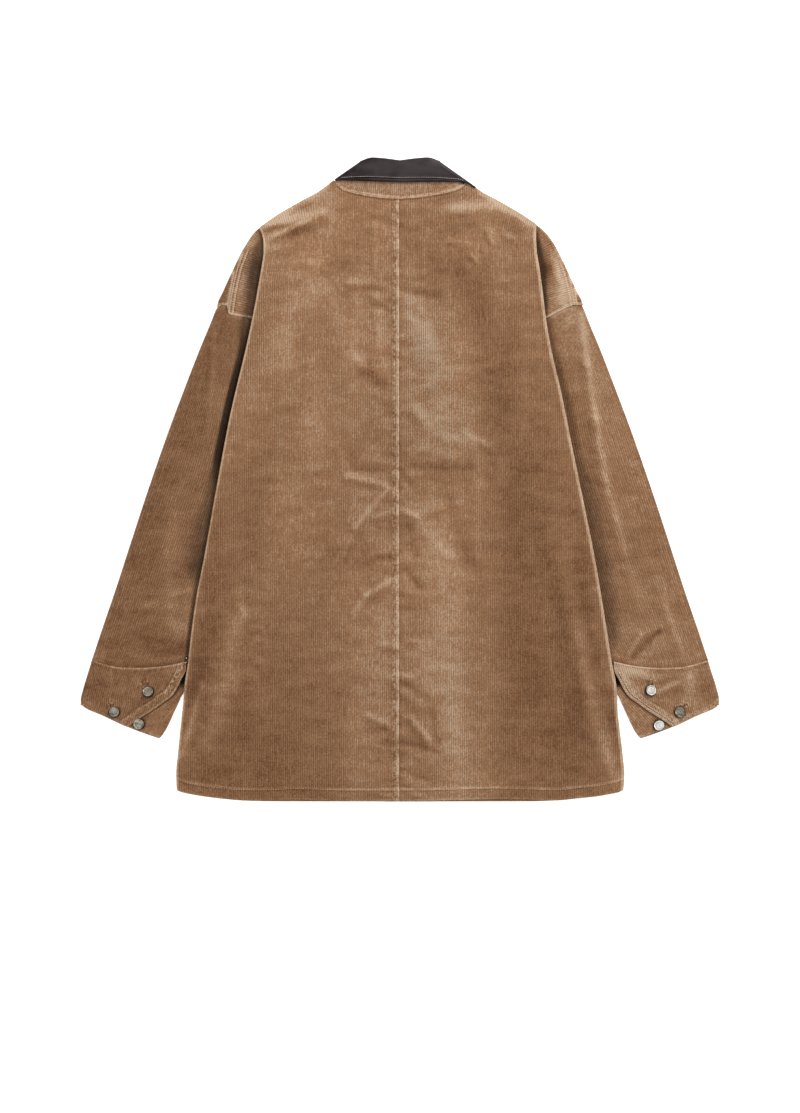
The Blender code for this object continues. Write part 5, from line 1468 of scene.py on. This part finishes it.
def sew_back():
    y = np.linspace(363.0, -402.0, 500)
    wander = 0.25 * mottle(0 * y, y, 1.0, 14.0, 161)
    rows = [on_back(wander - 5.3, y), on_back(wander - 10.2, y)]
    stitches("seam_stitches_centre_back", rows, "thread", 2)
    x = np.linspace(-276.0, 278.0, 420)
    y = HEM("y", x) + HEM_TURN + 0.5 * mottle(x, 0 * x, 30.0, 1.0, 162)
    stitches("hem_stitches", [on_back(x, y, 0.35)], "thread_light", 3)
    x = np.linspace(-82.0, 82.0, 120)
    y = np.where(x < 0, neck_y(-1, np.abs(x)), neck_y(1, np.abs(x))) - 1.2
    stitches("neck_stitches", [on_back(x, y, 0.1)], "thread_light", 4)


def sew_shoulder(side):
    word = SIDES[side]
    y = np.linspace(SHOULDER_ROWS_TOP[side] - 6.0, 228.0, 60)
    edge = OUTLINE("x", y) - SHOULDER_SEAM(word, y)
    rows = [on_shoulder_end(side, edge - inset, y) for inset in SHOULDER_ROWS[side][1:]]
    x = np.linspace(190.0, 230.0, 40)
    rows.append(on_shoulder_end(side, x, armhole_y(side, x) + 2.4))
    stitches(f"shoulder_stitches_{word}", rows, "thread_light", 5 + side)


def sew_cuff(side):
    word = SIDES[side]
    ends = np.linspace(-246.0, -318.0, 60)
    path = xyz(FLAP_END("x", ends), ends)
    square = plan_normals(path, CUFF_MIDDLE)
    insets, look, bold = FLAP_STITCHES[side]
    rows = []
    for inset in insets:
        x, y, _ = (path - square * inset).T
        kept = (y < CUFF_SEAM("y", x) - 3.0) & (y > CUFF_EDGE("y", x) + 1.5)
        rows.append(on_cuff(side, x[kept], y[kept], 0.15))
    bolder = {"spacing": 3.0, "length": 3.3, "width": bold, "height": 0.45}
    stitches(f"flap_stitches_{word}", rows[:-1], look, 21 + side, **bolder)
    stitches(f"flap_inner_stitches_{word}", rows[-1:], "thread", 25 + side, length=2.8)
    x = np.linspace(284.0, 396.0, 90)
    stitches(f"cuff_stitches_{word}", [on_cuff(side, x, CUFF_SEAM("y", x) - 2.4, 0.1)], "thread", 9 + side)
    holes = [
        buttonhole(side, x, y, turn)
        for button_side, which, x, y, *_, turn in BUTTONS
        if button_side == side and which != "spare"
    ]
    stitches(f"buttonholes_{word}", holes, "thread", 29 + side, spacing=1.7, length=1.4, width=0.9)
    x = np.linspace(316.0, 350.0, 40)
    low = xyz(side * x, CUFF_EDGE("y", x) + 3.4, UNDER_END_HEIGHT + TOP - 0.2)
    x = np.linspace(358.0, 410.0, 60)
    flap = on_cuff(side, x, CUFF_EDGE("y", x) + 3.0, -0.1)
    stitches(f"cuff_edge_stitches_{word}", [low, flap], "thread", 13 + side)


def sew_collar():
    turn = np.linspace(-0.385, 0.375, 180)
    crease, edge = collar_line(turn, "crease"), collar_line(turn, "leaf")
    t = 1 - 6.0 / np.linalg.norm(edge - crease, axis=1)
    path = between(crease, edge, t[:, None])
    path[:, 2] += leaf_wave(path[:, 0], path[:, 1], t) + 1.25
    finer = {"spacing": 2.9, "length": 2.7, "width": 0.9}
    stitches("collar_stitches", [path], "thread_dark", 17, slot="collar_leather", **finer)


# ---------------------------------------------------------------- looks

PILE_DARK = (0.141, 0.062, 0.0262)
PILE = (0.302, 0.1615, 0.0832)
PILE_LIGHT = (0.523, 0.370, 0.250)
LEATHER_DARK = (0.0075, 0.0025, 0.0030)
LEATHER_LIGHT = (0.032, 0.0228, 0.0230)
COLLAR_LIT_AT = (0.008, 0.401, 0.015)  # painted light: the middle of the collar is made lighter
COLLAR_LIT_REACH = (0.060, 0.022, 0.040)


class Look:
    """A material, with short ways to make the nodes that its shader reads."""

    def __init__(self, name):
        self.material = bpy.data.materials.new(name)
        self.material.use_nodes = True
        self.tree = self.material.node_tree

    def add(self, kind, inputs=(), **settings):
        return add_node(self.tree, kind, inputs, **settings).outputs

    def mark(self, word):
        return self.add("ShaderNodeAttribute", attribute_name=word)["Fac"]

    def sum(self, first, second):
        return self.add("ShaderNodeMath", {0: first, 1: second})[0]

    def times_plus(self, first, factor, plus):
        return self.add("ShaderNodeMath", {0: first, 1: factor, 2: plus}, operation="MULTIPLY_ADD")[0]

    def times(self, first, second):
        mix = {"Factor": 1.0, 6: first, 7: second}
        return self.add("ShaderNodeMix", mix, data_type="RGBA", blend_type="MULTIPLY")[2]

    def spread(self, source, low, high, reach):
        """The source's values from low to high, drawn out to within reach of 0."""
        ends = {"Value": source, "From Min": low, "From Max": high, "To Min": -reach, "To Max": reach}
        return self.add("ShaderNodeMapRange", ends)["Result"]

    def ramp(self, source, *stops):
        """A colour ramp of (position, value) stops that reads source."""
        node = add_node(self.tree, "ShaderNodeValToRGB", {"Fac": source})
        elements = node.color_ramp.elements
        while len(elements) < len(stops):
            elements.new(0.5)
        for element, (position, value) in zip(elements, stops):
            element.position = position
            element.color = (*value, 1.0) if isinstance(value, tuple) else (value, value, value, 1.0)
        return node.outputs["Color"]

    def where(self, **settings):
        """Object coordinates, moved, turned or stretched."""
        at = self.add("ShaderNodeTexCoord")["Object"]
        return self.add("ShaderNodeMapping", {"Vector": at, **settings}, vector_type="TEXTURE")["Vector"]

    def noise(self, scale, detail, stretch=(1, 1, 1), turn=0.0):
        at = self.where(Scale=[1 / s for s in stretch], Rotation=(0, 0, turn))
        values = {"Vector": at, "Scale": scale, "Detail": detail, "Roughness": 0.55}
        return self.add("ShaderNodeTexNoise", values)["Fac"]

    def finish(self, bump, strength, distance, **values):
        """Sets the shader's inputs; a word's _ stands for a space."""
        height = {"Height": bump, "Strength": strength, "Distance": distance * MM}
        values["Normal"] = self.add("ShaderNodeBump", height)["Normal"]
        shader = self.tree.nodes["Principled BSDF"]
        for word, value in values.items():
            socket = shader.inputs[word.replace("_", " ")]
            if isinstance(value, bpy.types.NodeSocket):
                self.tree.links.new(value, socket)
            else:
                socket.default_value = value
        return self.material


def corduroy_look():
    """Cotton pile: lighter and darker by the nap and painted light, painted shade in the grooves and where
    the shade mark says, soft sheen, fine fuzz.
    """
    look = Look("corduroy")
    fuzz = look.noise(420.0, 4.0)
    streak = look.noise(60.0, 5.0, stretch=(0.45, 1.4, 1.0))
    total = look.times_plus(look.mark("nap_and_painted_light"), 0.30, 0.46)
    total = look.sum(total, look.spread(streak, 0.0, 1.0, 0.2))
    total = look.sum(total, look.spread(fuzz, 0.3, 0.7, 0.2))
    dots = look.spread(look.noise(330.0, 1.0), 0.35, 0.65, 0.45)
    total = look.times_plus(look.mark("sewn"), dots, total)
    tone = look.ramp(total, (0.0, PILE_DARK), (0.5, PILE), (1.0, PILE_LIGHT))
    # Painted shade in the grooves, and painted shade where the shade mark says.
    groove_shade = look.ramp(look.mark("groove"), (0.0, 1.03), (0.4, 0.90), (1.0, 0.55))
    painted_shade = look.ramp(look.mark("shade"), (0.0, 1.0), (0.35, 0.62), (0.7, 0.22), (1.0, 0.05))
    return look.finish(
        fuzz, 0.5, 0.35, Base_Color=look.times(look.times(tone, groove_shade), painted_shade), Roughness=0.92,
        Specular_IOR_Level=0.12, Sheen_Weight=0.22, Sheen_Roughness=0.45, Sheen_Tint=(0.78, 0.60, 0.44, 1.0),
    )  # fmt: skip


def leather_look():
    look = Look("collar_leather")
    at = look.add("ShaderNodeTexCoord")["Object"]
    pebbles = look.add("ShaderNodeTexVoronoi", {"Vector": at, "Scale": 900.0})
    worn = look.noise(38.0, 6.0, stretch=(1.0, 1.6, 1.0))
    # Painted light in the middle of the collar.
    centre = look.where(Location=COLLAR_LIT_AT, Scale=COLLAR_LIT_REACH)
    collar_lit_middle = look.add("ShaderNodeTexGradient", {"Vector": centre}, gradient_type="SPHERICAL")["Fac"]
    tone = look.ramp(look.times_plus(collar_lit_middle, 0.16, worn), (0.40, LEATHER_DARK), (0.66, LEATHER_LIGHT))
    height = look.times_plus(pebbles["Distance"], 0.5, look.noise(160.0, 5.0))
    rough = look.ramp(worn, (0.3, 0.42), (0.75, 0.6))
    return look.finish(height, 0.35, 0.25, Base_Color=tone, Roughness=rough, Specular_IOR_Level=0.25)


def metal_look(name, dark, light, strokes):
    """Metal, brushed aslant, made darker where the profile says."""
    look = Look(name)
    brushed = look.noise(330.0, 3.0, stretch=(0.3, 1.5, 1.0), turn=math.radians(-34))
    worn = look.ramp(look.noise(160.0, 3.0), (0.35, dark), (0.65, light))
    streaks = look.ramp(brushed, (0.38, strokes), (0.56, 1.0))
    darker_by = look.ramp(look.mark("darkening"), (0.0, 1.0), (1.0, 0.12))
    colour = look.times(look.times(worn, streaks), darker_by)
    return look.finish(brushed, 0.2, 0.1, Base_Color=colour, Metallic=0.85, Roughness=0.6)


def thread_look(name, colour):
    look = Look(name)
    twist = look.noise(900.0, 2.0)
    tone = look.ramp(twist, (0.3, tuple(c * 0.6 for c in colour)), (0.65, colour))
    return look.finish(twist, 0.4, 0.15, Base_Color=tone, Roughness=0.8, Sheen_Weight=0.2)


LOOK = {
    "corduroy": corduroy_look(),
    "leather": leather_look(),
    # The buttons' metal in copies painted darker and lighter for how each catches the light: painted shade,
    # mid light, highlight and reflection.
    "metal_painted_shade": metal_look("button_metal_painted_shade", (0.27, 0.24, 0.19), (0.50, 0.45, 0.38), 0.5),
    "metal_painted_mid_light": metal_look("button_metal_painted_mid_light", (0.37, 0.33, 0.26), (0.67, 0.61, 0.51), 0.42),
    "metal_painted_reflection": metal_look("button_metal_painted_reflection", (0.80, 0.79, 0.77), (0.92, 0.91, 0.89), 0.8),
    "metal_painted_highlight": metal_look("button_metal_painted_highlight", (0.62, 0.60, 0.57), (0.80, 0.78, 0.75), 0.72),
    "bead_dark": metal_look("bead_metal_dark", (0.02, 0.018, 0.016), (0.05, 0.045, 0.04), 0.8),
    "thread": thread_look("thread", (0.40, 0.26, 0.15)),
    "thread_light": thread_look("thread_light", (0.62, 0.45, 0.30)),
    "thread_dark": thread_look("thread_dark", (0.50, 0.46, 0.43)),
}
STITCHES = stitch_tree()

# ---------------------------------------------------------------- stage

FLOOR_REACH = 6.0  # metres, as are the lights' places and sizes
FLOOR_LEVEL = -0.0004
FLOOR = {"Base Color": (0.93, 0.93, 0.93, 1.0), "Roughness": 0.9, "Specular IOR Level": 0.0,
         "Emission Color": (1.0, 1.0, 1.0, 1.0), "Emission Strength": 0.6}  # fmt: skip
LIGHTS = (  # name, place, size, power
    ("key", (1.6, 2.2, 2.1), 1.2, 98.0),
    ("fill", (-2.2, -1.2, 2.8), 2.6, 22.0),
    ("top", (0.0, 0.0, 3.6), 3.0, 36.0),
)
WORLD_STRENGTH = 0.38


def floor():
    mesh = bpy.data.meshes.new("floor")
    signs = ((-1, -1), (1, -1), (1, 1), (-1, 1))
    corners = [(x * FLOOR_REACH, y * FLOOR_REACH, FLOOR_LEVEL) for x, y in signs]
    mesh.from_pydata(corners, [], [(0, 1, 2, 3)])
    pale = Look("pale_floor")
    for word, value in FLOOR.items():
        pale.tree.nodes["Principled BSDF"].inputs[word].default_value = value
    mesh.materials.append(pale.material)
    add_object("floor", mesh)


def lights():
    for name, place_at, size, power in LIGHTS:
        light = bpy.data.lights.new(name, "AREA")
        light.size = size
        light.energy = power
        lamp = add_object(name, light)
        lamp.location = place_at
        lamp.rotation_mode = "QUATERNION"
        lamp.rotation_quaternion = (-Vector(place_at)).to_track_quat("-Z", "Y")
    world = bpy.data.worlds.new("studio")
    world.use_nodes = True
    background = world.node_tree.nodes["Background"]
    background.inputs["Color"].default_value = (1.0, 1.0, 1.0, 1.0)
    background.inputs["Strength"].default_value = WORLD_STRENGTH
    bpy.context.scene.world = world
    bpy.context.scene.view_settings.view_transform = "Standard"


def camera():
    picture_width, picture_height = 800, 1113
    pixel = 1.3 * MM
    middle_x, middle_y = 399.5, 479.5  # the picture point over the tables' zero
    distance = 6.0
    data = bpy.data.cameras.new("camera")
    data.sensor_width = 36.0
    data.lens = data.sensor_width * distance / (picture_height * pixel)
    eye = add_object("camera", data)
    centre_x = (picture_width / 2 - 0.5 - middle_x) * pixel
    centre_y = (middle_y - picture_height / 2 + 0.5) * pixel - MIDDLE_Y * MM
    eye.location = (centre_x, centre_y, distance)
    bpy.context.scene.camera = eye


for side in SIDES:
    front(side)
    sleeve(side)
    shoulder_end(side)
    back(side)
    cuff(side)
    under_end(side)
for row in BUTTONS:
    button(*row)
bead()
collar_stand()
collar_leaf()
sew_back()
for side in SIDES:
    sew_shoulder(side)
    sew_cuff(side)
sew_collar()
floor()
lights()
camera()
